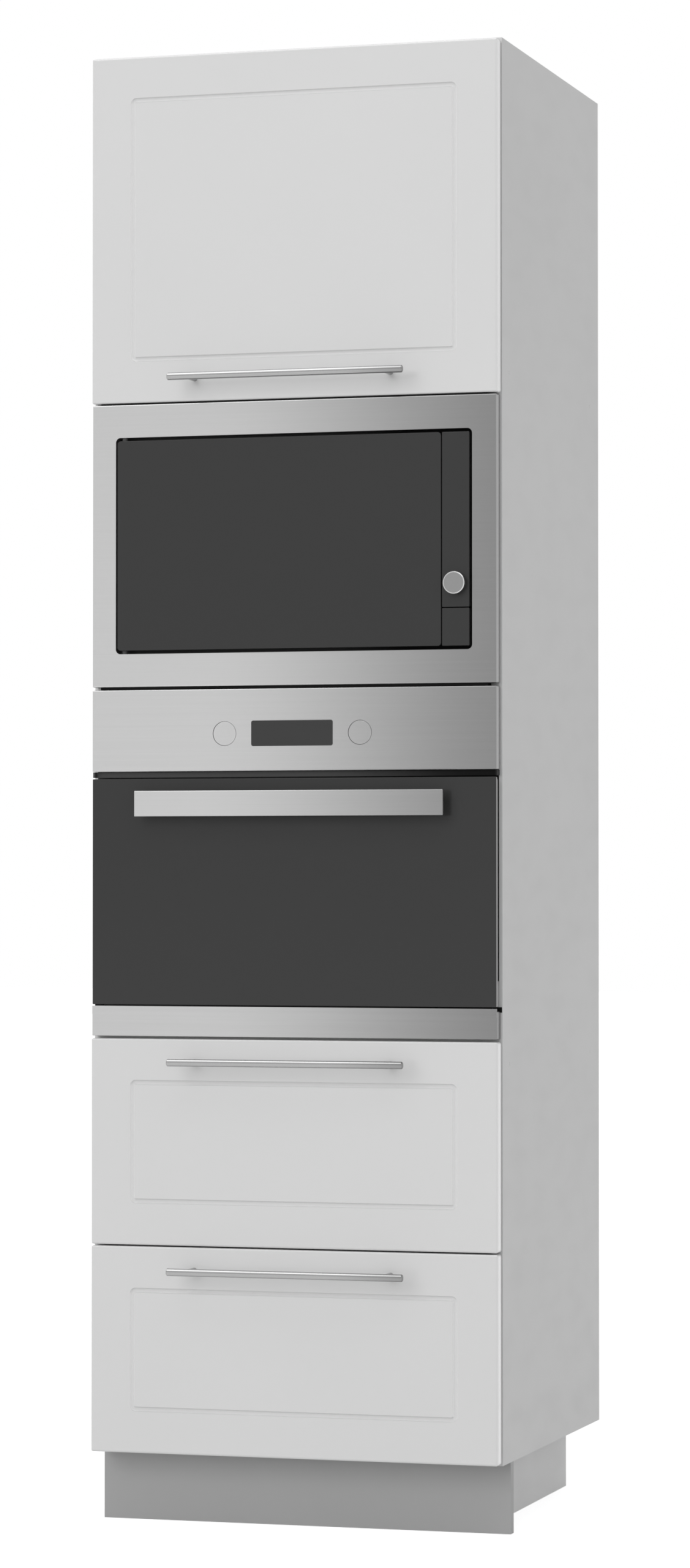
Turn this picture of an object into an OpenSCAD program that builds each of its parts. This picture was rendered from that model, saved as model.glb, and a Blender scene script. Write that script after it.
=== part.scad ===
// Tall oven housing unit: a floor-standing kitchen cabinet with a lift-up top cupboard, a built-in
// microwave, a built-in oven and two drawers. Millimetres, +Z up, the fronts face -Y.
// Sizes are set on "front" coordinates, where y = 0 is the face of the doors and drawers; every
// part is then moved so that the origin lies under the middle of the whole unit, on the floor.

/* [Carcass] */
// Width of the cabinet
unit_w = 600; // [560:1:700]
// Depth of the cabinet box behind its fronts
carcass_d = 570; // [560:1:640]
// Thickness of the cabinet boards
board_t = 15; // [15:0.5:19]
// Thickness of the hardboard backs
back_t = 3; // [3:0.5:5]
// Thickness of the wall rail, which is also how far the backs are set in
rail_t = 18; // [15:1:22]
// Height of the wall rail
rail_h = 100; // [80:1:140]
// Distance between the two wall screws
wall_screw_span = 400; // [200:1:480]
// Radius of the wall screw holes
wall_screw_r = 3; // [2.5:0.1:4]
// Radius of the linking screw holes in the sides
link_r = 2.5; // [2:0.1:4]

/* [Plinth] */
// Height of the plinth and of the feet
plinth_h = 100; // [90:1:180]
// Thickness of the plinth boards
plinth_t = 16; // [14:0.5:19]
// How far the plinth stands behind the carcass front edge
plinth_setback = 43; // [30:1:60]
// How far the side plinths stand in from the cabinet sides
plinth_side_inset = 50; // [40:1:60]

/* [Fronts] */
// Thickness of the doors and drawer fronts
front_t = 18; // [16:0.5:22]
// Air gap between a closed front and the carcass
front_air = 2; // [2:0.1:3]
// Reveal at each side of the fronts
side_reveal = 1.5; // [1:0.1:3]
// Reveal above the top door
top_reveal = 3.5; // [2:0.1:6]
// Reveal below the lower drawer
bottom_reveal = 1.5; // [1:0.1:4]
// Height of the lift-up door
flap_h = 493; // [485:0.5:530]
// Height of each drawer front
drawer_h = 291.5; // [270:0.5:300]
// Gap between the two drawer fronts
drawer_gap = 2; // [1.5:0.1:4]
// Gap between the upper drawer and the oven
oven_low_gap = 3.5; // [2.5:0.1:6]
// Gap between the oven and the microwave
appliance_gap = 4; // [3:0.1:6]
// Gap between the microwave and the top door
flap_gap = 2; // [1.5:0.1:4]
// Rounding of the front edges
front_ease = 3; // [1:0.1:4]
// Distance from a front's edge to the middle of its routed groove
groove_inset = 62; // [50:1:75]
// Radius of the groove cutter
groove_r = 3.6; // [2:0.1:3.9]
// Depth of the groove
groove_deep = 3; // [1:0.1:4]
// Corner radius of the groove's middle line
groove_corner = 5; // [4:0.1:12]

/* [Bar handles] */
// Length of each bar handle
bar_len = 344; // [320:1:420]
// Radius of the bar
bar_r = 5.2; // [4:0.1:7]
// Distance between the two posts
post_span = 288; // [160:1:300]
// Radius of the posts
post_r = 4; // [3:0.1:4.5]
// How far the bar handles stand out from the fronts
handle_reach = 43; // [34:1:60]
// Distance from a front's edge to the middle of the bar
handle_inset = 32; // [20:0.5:40]

/* [Drawers] */
// Height of a drawer box
box_h = 200; // [160:1:220]
// Length of a drawer box
box_len = 500; // [460:1:520]
// Thickness of the box sides and back
box_t = 12; // [10:0.5:16]
// Thickness of the drawer base
base_t = 6; // [4:0.5:10]
// Height of the box above the bottom edge of its front
box_lift = 28.5; // [24:0.5:40]
// Width of a three-part runner
runner_w = 12.7; // [12:0.1:16]
// Height of a runner's outer rail
runner_h = 45; // [40:0.5:50]
// Thickness of the runner steel
runner_steel = 1.2; // [1:0.1:1.5]
// Running gap between the rails
runner_gap = 0.3; // [0.2:0.05:0.4]

/* [Lift] */
// How much shorter the lift arms are than the door, from pivot to pivot
arm_short = 193; // [183:1:213]
// Lean of the closed arms from upright
arm_lean = 10; // [6:0.5:14]
// Height of the main pivot below the top of the carcass
arm_drop = 89; // [85:1:100]
// Distance of the lower pivot behind the back of the door
arm_set = 34; // [30:1:40]
// Width of a lift arm
arm_w = 16; // [14:0.5:18]
// Thickness of the lift arms and brackets
arm_t = 4; // [3:0.5:5]
// Radius of the lift pivots
arm_pin_r = 4; // [3:0.1:4.5]
// Thickness of the spring housing on each side
lift_box_t = 18; // [14:0.5:20]

/* [Microwave] */
// Height of the microwave front
mw_h = 401.5; // [398:0.5:410]
// Width of the microwave frame beside its mouth
mw_border = 35; // [33:0.1:38]
// Height of the microwave door
mw_door_h = 297.5; // [290:0.5:300]
// Side gap between the microwave door and its frame
mw_gap_x = 3.4; // [3.4:0.1:5]
// Gap above and below the microwave door
mw_gap_z = 5; // [3:0.1:7]
// How far the microwave glass stands proud of its frame
mw_proud = 3; // [2:0.1:3.2]
// Width of the control column
mw_column_w = 39.2; // [34:0.1:44]
// Height of the door button
mw_button_h = 52.5; // [44:0.5:60]
// Travel of the door button
mw_button_travel = 4; // [2:0.1:5]
// Radius of the microwave knob
mw_knob_r = 15.5; // [13:0.1:17]
// How far the microwave knob stands out of the glass
mw_knob_len = 11; // [8:0.1:16]
// Radius of the turntable plate
turntable_r = 150; // [120:1:165]

/* [Oven] */
// Height of the oven front
oven_h = 490; // [488:0.5:500]
// Reveal at each side of the appliance fronts
appliance_reveal = 3; // [2:0.1:4]
// Height of the control panel
panel_h = 116; // [112:0.5:118]
// Height of the dark band under the control panel
band_h = 10.2; // [8:0.1:14]
// Height of the strip below the oven door
strip_h = 42.5; // [38:0.5:46]
// Gap between the strip and the oven door
strip_gap = 2; // [1.5:0.1:3]
// Thickness of the oven door glass
glass_t = 4; // [3:0.1:5]
// Thickness of the whole oven door
oven_door_t = 17; // [16:0.1:17.5]
// Radius of the retracting oven knobs
knob_r = 17; // [14:0.1:20]
// Distance of each oven knob from the middle of the panel
knob_x = 99.5; // [85:0.5:140]
// How far the oven knobs pop out
knob_travel = 18; // [10:0.5:20]
// Width of the display
display_w = 120; // [90:0.5:130]
// Height of the display
display_h = 36; // [24:0.5:44]
// Height of the knobs and the display above the panel's lower edge
control_rise = 53; // [45:0.5:65]
// Width of the oven handle
oven_handle_w = 452; // [400:1:480]
// Height of the flat handle bar
oven_handle_h = 36; // [20:0.5:40]
// Thickness of the flat handle bar
oven_handle_t = 5; // [4:0.1:8]
// Finger room behind the oven handle
oven_handle_room = 19; // [16:0.5:34]
// Distance from the top of the glass to the handle
oven_handle_drop = 17.4; // [12:0.1:40]
// Width inside the oven
cavity_w = 450; // [430:1:460]
// Height inside the oven
cavity_h = 262; // [250:1:262]
// Depth inside the oven
cavity_d = 410; // [380:1:430]

/* [Hidden] */
$fn = 48;

// Clearances
eps = 0.5;
pin_fit = 0.05;
slide_fit = 0.06;
touch_gap = 0.3;
seam = 0.05;

// Carcass places
carcass_y = front_t + front_air;
back_y = carcass_y + carcass_d;
mid_y = (back_y - handle_reach) / 2;
carcass_z = plinth_h;
half_w = unit_w / 2;
inner_x = half_w - board_t;
back_face_y = back_y - rail_t;
shelf_y = [carcass_y, back_face_y - back_t];
groove_in = 5;

// Fronts, from the floor up
front_w = unit_w - 2 * side_reveal;
lower_z = carcass_z + bottom_reveal;
upper_z = lower_z + drawer_h + drawer_gap;
oven_z = upper_z + drawer_h + oven_low_gap;
oven_top = oven_z + oven_h;
mw_z = oven_top + appliance_gap;
mw_top = mw_z + mw_h;
flap_z = mw_top + flap_gap;
carcass_top = flap_z + flap_h + top_reveal;
oven_shelf_z = oven_z - (oven_low_gap + board_t) / 2;
mw_shelf_z = mw_z - (appliance_gap + board_t) / 2;
floor_z = flap_z - (flap_gap + board_t) / 2;
oven_base_z = oven_shelf_z + board_t + touch_gap;
mw_base_z = mw_shelf_z + board_t + touch_gap;
hollow_z = floor_z + board_t;

// Loose shelf and its pins
shelf_front_y = carcass_y + 110;
loose_z = hollow_z + (carcass_top - board_t - hollow_z) / 2;
shelf_play = 0.5;
pin_r = 2.45;
pin_hole_r = 2.5;
pin_hole_deep = 11;
pin_pitch = 32;
pin_rows = 2;
pin_y = [shelf_front_y + 37, shelf_y[1] - 37];
link_in = 26;
link_y = [carcass_y + 37, back_y - 57];
link_z = [oven_shelf_z - link_in, hollow_z + link_in];

// Plinth and feet
plinth_y = carcass_y + plinth_setback;
plinth_side_x = half_w - plinth_side_inset;
foot_r = 26;
foot_x = plinth_side_x - plinth_t - foot_r - 8;
foot_y = [plinth_y + plinth_t + 45, back_y - 50];
socket_r = 16;
stem_r = 12;

// Bar handle
bar_y = bar_r - handle_reach;
bar_tip = 1;
screw_r = 2;
screw_in = 12;
screw_head_r = 4.5;

// Runners: the height of each rail's middle above its box, and where the rails start
rail_y = [carcass_y + 4, carcass_y + 4 + box_len];
runner_rise = 50;
box_x = inner_x - runner_w;
base_rise = 8;
base_let_in = 4;

// Lift linkage: a parallelogram, so the door stays upright
arm_len = flap_h - arm_short;
arm_low = [front_t + arm_set, carcass_top - arm_drop - arm_len * cos(arm_lean)];
arm_high = [arm_low[0] + arm_len * sin(arm_lean), carcass_top - arm_drop];
link_step = [19, -41];
lift_gap = 0.4;
lift_box_x = inner_x - lift_box_t;
arm_x = lift_box_x - lift_gap - arm_t;
bracket_x = arm_x - lift_gap - arm_t;
brace_r = 7;
brace_at = 52;

// Microwave
skin_t = 2;
flange_t = 1.6;
flange_y = carcass_y - flange_t;
mw_frame_t = flange_y - touch_gap;
mw_mouth_w = unit_w - 2 * appliance_reveal - 2 * mw_border;
mw_door_w = mw_mouth_w - 2 * mw_gap_x;
mw_mouth_h = mw_door_h + 2 * mw_gap_z;
mw_mouth_z = mw_z + (mw_h - mw_mouth_h) / 2;
mw_door_z = mw_mouth_z + mw_gap_z;
mw_left = -mw_door_w / 2;
mw_right = mw_door_w / 2;
mw_split = 1.4;
mw_door_x = [mw_left, mw_right - mw_column_w - mw_split];
mw_column_x = [mw_right - mw_column_w, mw_right];
mw_column_mid = mw_right - mw_column_w / 2;
mw_knob_z = mw_door_z + mw_button_h + 34.5;
mw_hinge = [mw_left + 9, 5];
mw_pin_r = 2.5;
mw_door_back = 14;
mw_corner = 5;
mw_shell_t = 1.5;
mw_side_air = 15;
mw_top_air = 11;
mw_back_air = 110;
mw_case_x = inner_x - mw_side_air;
mw_case_y = [carcass_y, back_y - mw_back_air];
mw_case_z = [mw_base_z, floor_z - mw_top_air];
mw_cavity_in = 58;
mw_cavity_low = 26;
mw_cavity_high = 43.5;
mw_cavity_back = 80;
mw_cavity_x = [mw_door_x[0] + mw_cavity_in + 0.6, mw_door_x[1] - mw_cavity_in];
mw_cavity_y = [carcass_y, mw_case_y[1] - mw_cavity_back];
mw_cavity_z = [mw_door_z + mw_cavity_low, mw_door_z + mw_door_h - mw_cavity_high];
mw_guide_end = mw_case_y[0] + 24;
mw_button_pin = 4;
table_mid = [(mw_cavity_x[0] + mw_cavity_x[1]) / 2, (mw_cavity_y[0] + mw_cavity_y[1]) / 2 + 4];
table_pin_r = 5;
table_pin_len = 22;
roller_r = 7;
ring_r = 92;
hook_in = 60;
hook_z = [mw_door_z + hook_in, mw_door_z + mw_door_h - hook_in - 1.5];
hook_x = mw_door_x[1] - 20;

// Oven
half_app = half_w - appliance_reveal;
strip_top = oven_z + strip_h;
door_z = strip_top + strip_gap;
panel_z = oven_top - panel_h;
door_top = panel_z - band_h;
panel_t = flange_y - 0.1;
oven_plate_t = 2;
panel_wall = 4;
casing_y = carcass_y + oven_plate_t;
control_z = panel_z + control_rise;
hinge_y = 8;
hinge_z = door_z + 7.5;
hinge_in = 27;
hinge_x = half_app - hinge_in;
hinge_pin_r = 2;
ear_r = 3.5;
ear_t = 4;
casing_t = 1.5;
casing_side_air = 6;
casing_top_air = 4.5;
casing_back_air = 30;
casing_x = inner_x - casing_side_air;
casing_z = [oven_base_z, mw_shelf_z - casing_top_air];
casing_end = back_y - casing_back_air;
slot_w = 40;
slot_h = 6;
slot_pitch = 50;
slot_drop = 14;
gland_x = 190;
gland_up = 30;
gland_r = 9;
gland_out = 9;
liner_t = 2;
cavity_r = 20;
cavity_z = door_top - 20 - cavity_h;
plug_margin = 10;
plug_t = 13;
plug_w = cavity_w - 2 * plug_margin;
plug_h = cavity_h - 2 * plug_margin;
plug_z = cavity_z + plug_margin;
window_margin = 30;
stem_nose_r = 4;
stem_body_r = 5;
guide_len = 28;
stem_short = 6;
knob_gap = 0.3;
ladder_r = 2.5;
ladder_in = [38, 32];
ladder_y = [casing_y + ladder_in[0], casing_y + cavity_d - ladder_in[1]];
ladder_x = cavity_w / 2 - 9;
rail_x = ladder_x - 2 * ladder_r + 0.5;
rack_x = ladder_x - ladder_r - 0.5;
ladder_step = 52;
ladder_first = cavity_z + 40;
ladder_levels = 4;
ladder_pair = 16;
wire_r = 3;
bar_count = 15;
grill_r = 3.2;
grill_pitch = 60;
grill_bends = 5;

// ---------- shapes that repeat ----------

// Places a part given on front coordinates into the unit's own frame
module place() {
  translate([0, -mid_y, 0]) children();
}

// Both mirror images of a part
module both_sides() {
  children();
  mirror([1, 0, 0]) children();
}

// Straight block between low and high values on each axis
module block(x, y, z) {
  translate([x[0], y[0], z[0]]) cube([x[1] - x[0], y[1] - y[0], z[1] - z[0]]);
}

// Round bar along X between x[0] and x[1]
module bar_x(x, y, z, r) {
  translate([x[0], y, z]) rotate([0, 90, 0]) cylinder(h = x[1] - x[0], r = r);
}

// Round bar along Y
module bar_y_dir(x, y, z, r) {
  translate([x, y[1], z]) rotate([90, 0, 0]) cylinder(h = y[1] - y[0], r = r);
}

// Round bar along Z
module bar_z(x, y, z, r) {
  translate([x, y, z[0]]) cylinder(h = z[1] - z[0], r = r);
}

// Rectangle with round corners, centred
module round_rect(w, h, r) {
  square([w - 2 * r, h], center = true);
  square([w, h - 2 * r], center = true);
  for (sx = [-1, 1], sz = [-1, 1]) translate([sx * (w / 2 - r), sz * (h / 2 - r)]) circle(r);
}

// Upright plate with round corners, between x, y and z limits
module round_plate(x, y, z, r) {
  translate([(x[0] + x[1]) / 2, y[1], (z[0] + z[1]) / 2])
    rotate([90, 0, 0]) linear_extrude(y[1] - y[0]) round_rect(x[1] - x[0], z[1] - z[0], r);
}

// Cross-section of a board whose two front edges are rounded
module eased_section(w, t, r) {
  translate([-w / 2, r]) square([w, t - r]);
  translate([-w / 2 + r, 0]) square([w - 2 * r, t - r]);
  for (s = [-1, 1]) translate([s * (w / 2 - r), r]) circle(r);
}

// Upright slab with rounded front edges and round corners
module eased_slab(x, y, z, ease, corner) {
  w = x[1] - x[0];
  h = z[1] - z[0];
  t = y[1] - y[0];
  intersection() {
    round_plate(x, [y[0] - eps, y[1]], z, corner);
    translate([(x[0] + x[1]) / 2, y[0], z[0]]) linear_extrude(h) eased_section(w, t, ease);
    translate([x[0], y[0], (z[0] + z[1]) / 2]) rotate([90, 0, 90]) linear_extrude(w)
      mirror([1, -1, 0]) eased_section(h, t, ease);
  }
}

// Path of the groove cutter round a rectangle of the given middle line
module groove_cut(w, h) {
  run_w = w - 2 * groove_corner;
  run_h = h - 2 * groove_corner;
  translate([0, groove_deep - groove_r, 0]) {
    for (s = [-1, 1]) {
      bar_x([-run_w / 2, run_w / 2], 0, s * h / 2, groove_r);
      bar_z(s * w / 2, 0, [-run_h / 2, run_h / 2], groove_r);
    }
    for (i = [0:3]) rotate([0, -90 * i, 0])
      translate([(i % 2 == 0 ? run_w : run_h) / 2, 0, (i % 2 == 0 ? run_h : run_w) / 2])
        rotate([90, 0, 0]) rotate_extrude(angle = 90) translate([groove_corner, 0]) circle(groove_r);
  }
}

// Routed front, its lower edge at z, with holes for the handle screws at height bar_z_at
module routed_front(z, h, bar_z_at) {
  color("whitesmoke") place() difference() {
    eased_slab([-front_w / 2, front_w / 2], [0, front_t], [z, z + h], front_ease, front_ease + 1);
    translate([0, 0, z + h / 2]) groove_cut(front_w - 2 * groove_inset, h - 2 * groove_inset);
    for (s = [-1, 1]) bar_y_dir(s * post_span / 2, [-eps, front_t + eps], bar_z_at, screw_r + 0.5);
  }
}

// Bar handle on two posts, and the two screws that hold it through the front
module bar_handle(z) {
  color("silver") place() {
    difference() {
      union() {
        bar_x([-bar_len / 2 + bar_tip, bar_len / 2 - bar_tip], bar_y, z, bar_r);
        for (s = [-1, 1]) translate([s * (bar_len / 2 - bar_tip), bar_y, z]) rotate([0, s * 90, 0])
          cylinder(h = bar_tip, r1 = bar_r, r2 = bar_r - bar_tip);
        for (s = [-1, 1]) bar_y_dir(s * post_span / 2, [bar_y, 0], z, post_r);
      }
      for (s = [-1, 1]) bar_y_dir(s * post_span / 2, [-screw_in - 1, eps], z, screw_r + pin_fit);
    }
    for (s = [-1, 1]) {
      bar_y_dir(s * post_span / 2, [-screw_in, front_t + 1], z, screw_r);
      bar_y_dir(s * post_span / 2, [front_t, front_t + 2.5], z, screw_head_r);
    }
  }
}

// ---------- cabinet ----------

// One side board, on the +X side
module side_board() {
  difference() {
    block([inner_x, half_w], [carcass_y, back_y], [carcass_z, carcass_top]);
    block([inner_x - eps, inner_x + groove_in], [shelf_y[1], back_face_y],
          [carcass_z - eps, carcass_top + eps]);
    for (y = pin_y, k = [-pin_rows:pin_rows])
      bar_x([inner_x - eps, inner_x + pin_hole_deep], y, loose_z + k * pin_pitch, pin_hole_r);
    for (y = link_y, z = link_z) bar_x([inner_x - eps, half_w + eps], y, z, link_r);
  }
}

module side_left() {
  color("gainsboro") place() mirror([1, 0, 0]) side_board();
}

module side_right() {
  color("gainsboro") place() side_board();
}

module top_panel() {
  color("gainsboro") place()
    block([-inner_x, inner_x], [carcass_y, back_y], [carcass_top - board_t, carcass_top]);
}

module bottom_panel() {
  color("gainsboro") place()
    block([-inner_x, inner_x], [carcass_y, back_y], [carcass_z, carcass_z + board_t]);
}

// The shelf under the oven and the shelf under the microwave
module appliance_shelves() {
  color("gainsboro") place() for (z = [oven_shelf_z, mw_shelf_z])
    block([-inner_x, inner_x], shelf_y, [z, z + board_t]);
}

module cupboard_floor() {
  color("gainsboro") place() block([-inner_x, inner_x], shelf_y, [floor_z, hollow_z]);
}

module loose_shelf() {
  color("gainsboro") place()
    block([-inner_x + shelf_play, inner_x - shelf_play], [shelf_front_y, shelf_y[1] - shelf_play],
          [loose_z + pin_r, loose_z + pin_r + board_t]);
}

// Four metal pins that carry the loose shelf
module shelf_pins() {
  reach = 9;
  collar = 1.5;
  collar_r = 3.6;
  collar_drop = 1.3;
  color("silver") place() both_sides() for (y = pin_y) {
    bar_x([inner_x - reach, inner_x + pin_hole_deep - 1], y, loose_z, pin_r);
    bar_x([inner_x - collar, inner_x], y, loose_z - collar_drop, collar_r);
  }
}

// Backs of the cupboard and of the drawer space; the appliance space stays open to the wall
module back_panels() {
  play = 0.5;
  hole_r = wall_screw_r + 2;
  x = inner_x + groove_in - play;
  color("tan") place() {
    difference() {
      block([-x, x], [shelf_y[1], back_face_y], [floor_z, carcass_top - board_t]);
      for (s = [-1, 1]) bar_y_dir(s * wall_screw_span / 2, [shelf_y[1] - eps, back_face_y + eps],
                                  carcass_top - board_t - rail_h / 2, hole_r);
    }
    block([-x, x], [shelf_y[1], back_face_y], [carcass_z + board_t, oven_shelf_z + board_t]);
  }
}

// Rail behind the upper back that takes the wall screws
module wall_rail() {
  z = carcass_top - board_t - rail_h;
  color("gainsboro") place() difference() {
    block([-inner_x, inner_x], [back_face_y, back_y], [z, z + rail_h]);
    for (s = [-1, 1]) bar_y_dir(s * wall_screw_span / 2, [back_face_y - eps, back_y + eps],
                                z + rail_h / 2, wall_screw_r);
  }
}

module plinth_front() {
  color("darkgray") place()
    block([-half_w, half_w], [plinth_y, plinth_y + plinth_t], [0, plinth_h]);
}

// Plinth returns, set in from the sides
module plinth_sides() {
  color("darkgray") place() both_sides()
    block([plinth_side_x - plinth_t, plinth_side_x], [plinth_y + plinth_t, back_y - 6], [0, plinth_h]);
}

// Adjustable leg: a socket screwed under the cabinet and a threaded foot in it
module leg() {
  socket_h = 40;
  flange_h = 5;
  pad_h = 8;
  difference() {
    union() {
      translate([0, 0, plinth_h - flange_h]) cylinder(h = flange_h, r = foot_r + 4);
      translate([0, 0, plinth_h - socket_h]) cylinder(h = socket_h, r = socket_r);
      for (a = [0:90:270]) rotate(a) translate([socket_r - 1, -1.5, plinth_h - flange_h - 12])
        cube([10, 3, 12 + 1]);
    }
    translate([0, 0, plinth_h - socket_h - eps]) cylinder(h = socket_h - flange_h, r = stem_r + pin_fit);
  }
  cylinder(h = pad_h, r1 = foot_r, r2 = foot_r - 5);
  cylinder(h = plinth_h - flange_h - 4, r = stem_r);
  translate([0, 0, pad_h + 6]) cylinder(h = 12, r = socket_r + 2, $fn = 6);
}

module legs() {
  color("dimgray") place() both_sides() for (y = foot_y) translate([foot_x, y, 0]) leg();
}

// ---------- lift-up door ----------

// Flat link between two pivots in the plane of the side, with a bore at each end
module link_plate(from, to, w, x) {
  run = norm(to - from);
  lean = atan2(to[1] - from[1], to[0] - from[0]);
  translate([x, from[0], from[1]]) rotate([lean, 0, 0]) difference() {
    union() {
      translate([0, 0, -w / 2]) cube([arm_t, run, w]);
      for (d = [0, run]) bar_x([0, arm_t], d, 0, w / 2);
    }
    for (d = [0, run]) bar_x([-eps, arm_t + eps], d, 0, arm_pin_r + pin_fit);
  }
}

// Spring housings on the sides, with the two fixed pivots of each linkage
module lift_units() {
  y = [arm_high[0] - 34, arm_high[0] + 96];
  z = [arm_high[1] - 70, arm_high[1] + 45];
  color("lightgray") place() both_sides() {
    translate([inner_x, 0, 0]) rotate([0, 0, 90]) round_plate(y, [0, lift_box_t], z, 8);
    for (p = [arm_high, arm_high + link_step]) {
      bar_x([arm_x - lift_gap, lift_box_x + 1], p[0], p[1], arm_pin_r);
      bar_x([arm_x - lift_gap - 1.6, arm_x - lift_gap], p[0], p[1], arm_pin_r + 2);
    }
  }
}

// Main arms, joined across the cabinet by a round brace
module lift_arms() {
  along = brace_at / arm_len;
  at = arm_low + along * (arm_high - arm_low);
  color("gray") place() {
    both_sides() link_plate(arm_low, arm_high, arm_w, arm_x);
    bar_x([-arm_x - 1, arm_x + 1], at[0], at[1], brace_r);
  }
}

module lift_guides() {
  color("gray") place() both_sides()
    link_plate(arm_low + link_step, arm_high + link_step, arm_w - 4, arm_x);
}

// Brackets on the back of the door that carry the lower pivots
module flap_brackets() {
  boss_r = 9;
  low = arm_low + link_step;
  color("gray") place() both_sides() {
    block([bracket_x - 20, bracket_x + arm_t], [front_t, front_t + 3],
          [low[1] - 14, arm_low[1] + 14]);
    translate([bracket_x, 0, 0]) rotate([90, 0, 90]) linear_extrude(arm_t) polygon([
      [front_t, arm_low[1] + 14], [arm_low[0], arm_low[1] + boss_r],
      [arm_low[0] + boss_r, arm_low[1]], [low[0] + boss_r, low[1]],
      [low[0], low[1] - boss_r], [front_t, low[1] - 14]]);
    for (p = [arm_low, low]) {
      bar_x([bracket_x, bracket_x + arm_t], p[0], p[1], boss_r);
      bar_x([bracket_x, arm_x + arm_t], p[0], p[1], arm_pin_r);
    }
  }
}

module flap_front() {
  routed_front(flap_z, flap_h, flap_z + handle_inset);
}

module flap_handle() {
  bar_handle(flap_z + handle_inset);
}

// ---------- drawers ----------

// Rail of a three-part runner: a C profile of the given half height, from web to lip
module rail_profile(web, tip, half_h, lip) {
  translate([min(web, web + (tip > web ? runner_steel : -runner_steel)), -half_h])
    square([runner_steel, 2 * half_h]);
  for (s = [-1, 1]) {
    translate([min(web, tip), s > 0 ? half_h - runner_steel : -half_h])
      square([abs(tip - web), runner_steel]);
    if (lip > 0) translate([tip - runner_steel, s > 0 ? half_h - lip : -half_h])
      square([runner_steel, lip]);
  }
}

// The rail on both sides of a drawer, at height z, between two y values; distances run from the
// cabinet side towards the drawer
module rail_pair(z, y, web, tip, half_h, lip) {
  color("silver") place() both_sides()
    translate([inner_x, y[0], z]) rotate([90, 0, 180]) linear_extrude(y[1] - y[0])
      rail_profile(web, tip, half_h, lip);
}

outer_half = runner_h / 2;
middle_half = outer_half - runner_steel - runner_gap;
inner_half = middle_half - runner_steel - runner_gap;
middle_web = runner_steel + runner_gap;
outer_tip = runner_w - runner_steel - 2 * runner_gap - 1;
middle_tip = outer_tip - runner_steel - runner_gap;
inner_tip = middle_web + runner_steel + runner_gap;
outer_lip = outer_half - inner_half - runner_gap;

module runner_outer(z) {
  rail_pair(z, rail_y, 0, outer_tip, outer_half, outer_lip);
}

module runner_middle(z) {
  rail_pair(z, [rail_y[0] + 2, rail_y[1] - 2], middle_web, middle_tip, middle_half, 0);
}

module runner_inner(z) {
  rail_pair(z, [rail_y[0], rail_y[1] - 12], runner_w, inner_tip, inner_half, 0);
}

module runner_rails() {
  for (z = [lower_z, upper_z]) runner_outer(z + box_lift + runner_rise);
}

// Drawer box: two sides and a back round a base let into grooves
module drawer_box(z) {
  zb = z + box_lift;
  base_x = box_x - box_t + base_let_in;
  y = [front_t, front_t + box_len];
  base_z = [zb + base_rise, zb + base_rise + base_t];
  color("white") place() {
    both_sides() difference() {
      block([box_x - box_t, box_x], y, [zb, zb + box_h]);
      block([0, base_x + 0.2], [y[0] - eps, y[1] + eps], [base_z[0] - 0.1, base_z[1] + 0.1]);
    }
    block([-box_x + box_t, box_x - box_t], [y[1] - box_t, y[1]], [base_z[1], zb + box_h - 20]);
    block([-base_x, base_x], y, base_z);
  }
}

module drawer_upper_front() {
  routed_front(upper_z, drawer_h, upper_z + drawer_h - handle_inset);
}

module drawer_lower_front() {
  routed_front(lower_z, drawer_h, lower_z + drawer_h - handle_inset);
}

// ---------- oven ----------

// Cable gland on the back of a casing of wall thickness t
module gland(y, z, t) {
  bar_y_dir(gland_x, [y - t, y + gland_out], z, gland_r);
  bar_y_dir(gland_x, [y - t, y + gland_out / 3], z, gland_r + 4);
}

// One cooling slot in the back of a casing, in column i and row k
module back_slot(i, k, y, t, z) {
  block([i * slot_pitch - slot_w / 2, i * slot_pitch + slot_w / 2], [y - t - eps, y + eps],
        [z - slot_drop * k, z + slot_h - slot_drop * k]);
}

// Outer sheet-steel box, open at the front, with cooling slots and the cable gland in the back
module oven_casing() {
  color("lightsteelblue") place() difference() {
    union() {
      difference() {
        block([-casing_x, casing_x], [casing_y, casing_end], casing_z);
        block([-casing_x + casing_t, casing_x - casing_t], [casing_y - eps, casing_end - casing_t],
              [casing_z[0] + casing_t, casing_z[1] - casing_t]);
      }
      gland(casing_end, casing_z[0] + gland_up, casing_t);
    }
    bar_y_dir(gland_x, [casing_end - gland_out, casing_end + gland_out + eps],
              casing_z[0] + gland_up, gland_r / 2);
    for (i = [-4:4], k = [0:2]) back_slot(i, k, casing_end, casing_t, casing_z[1] - 40);
  }
}

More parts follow.
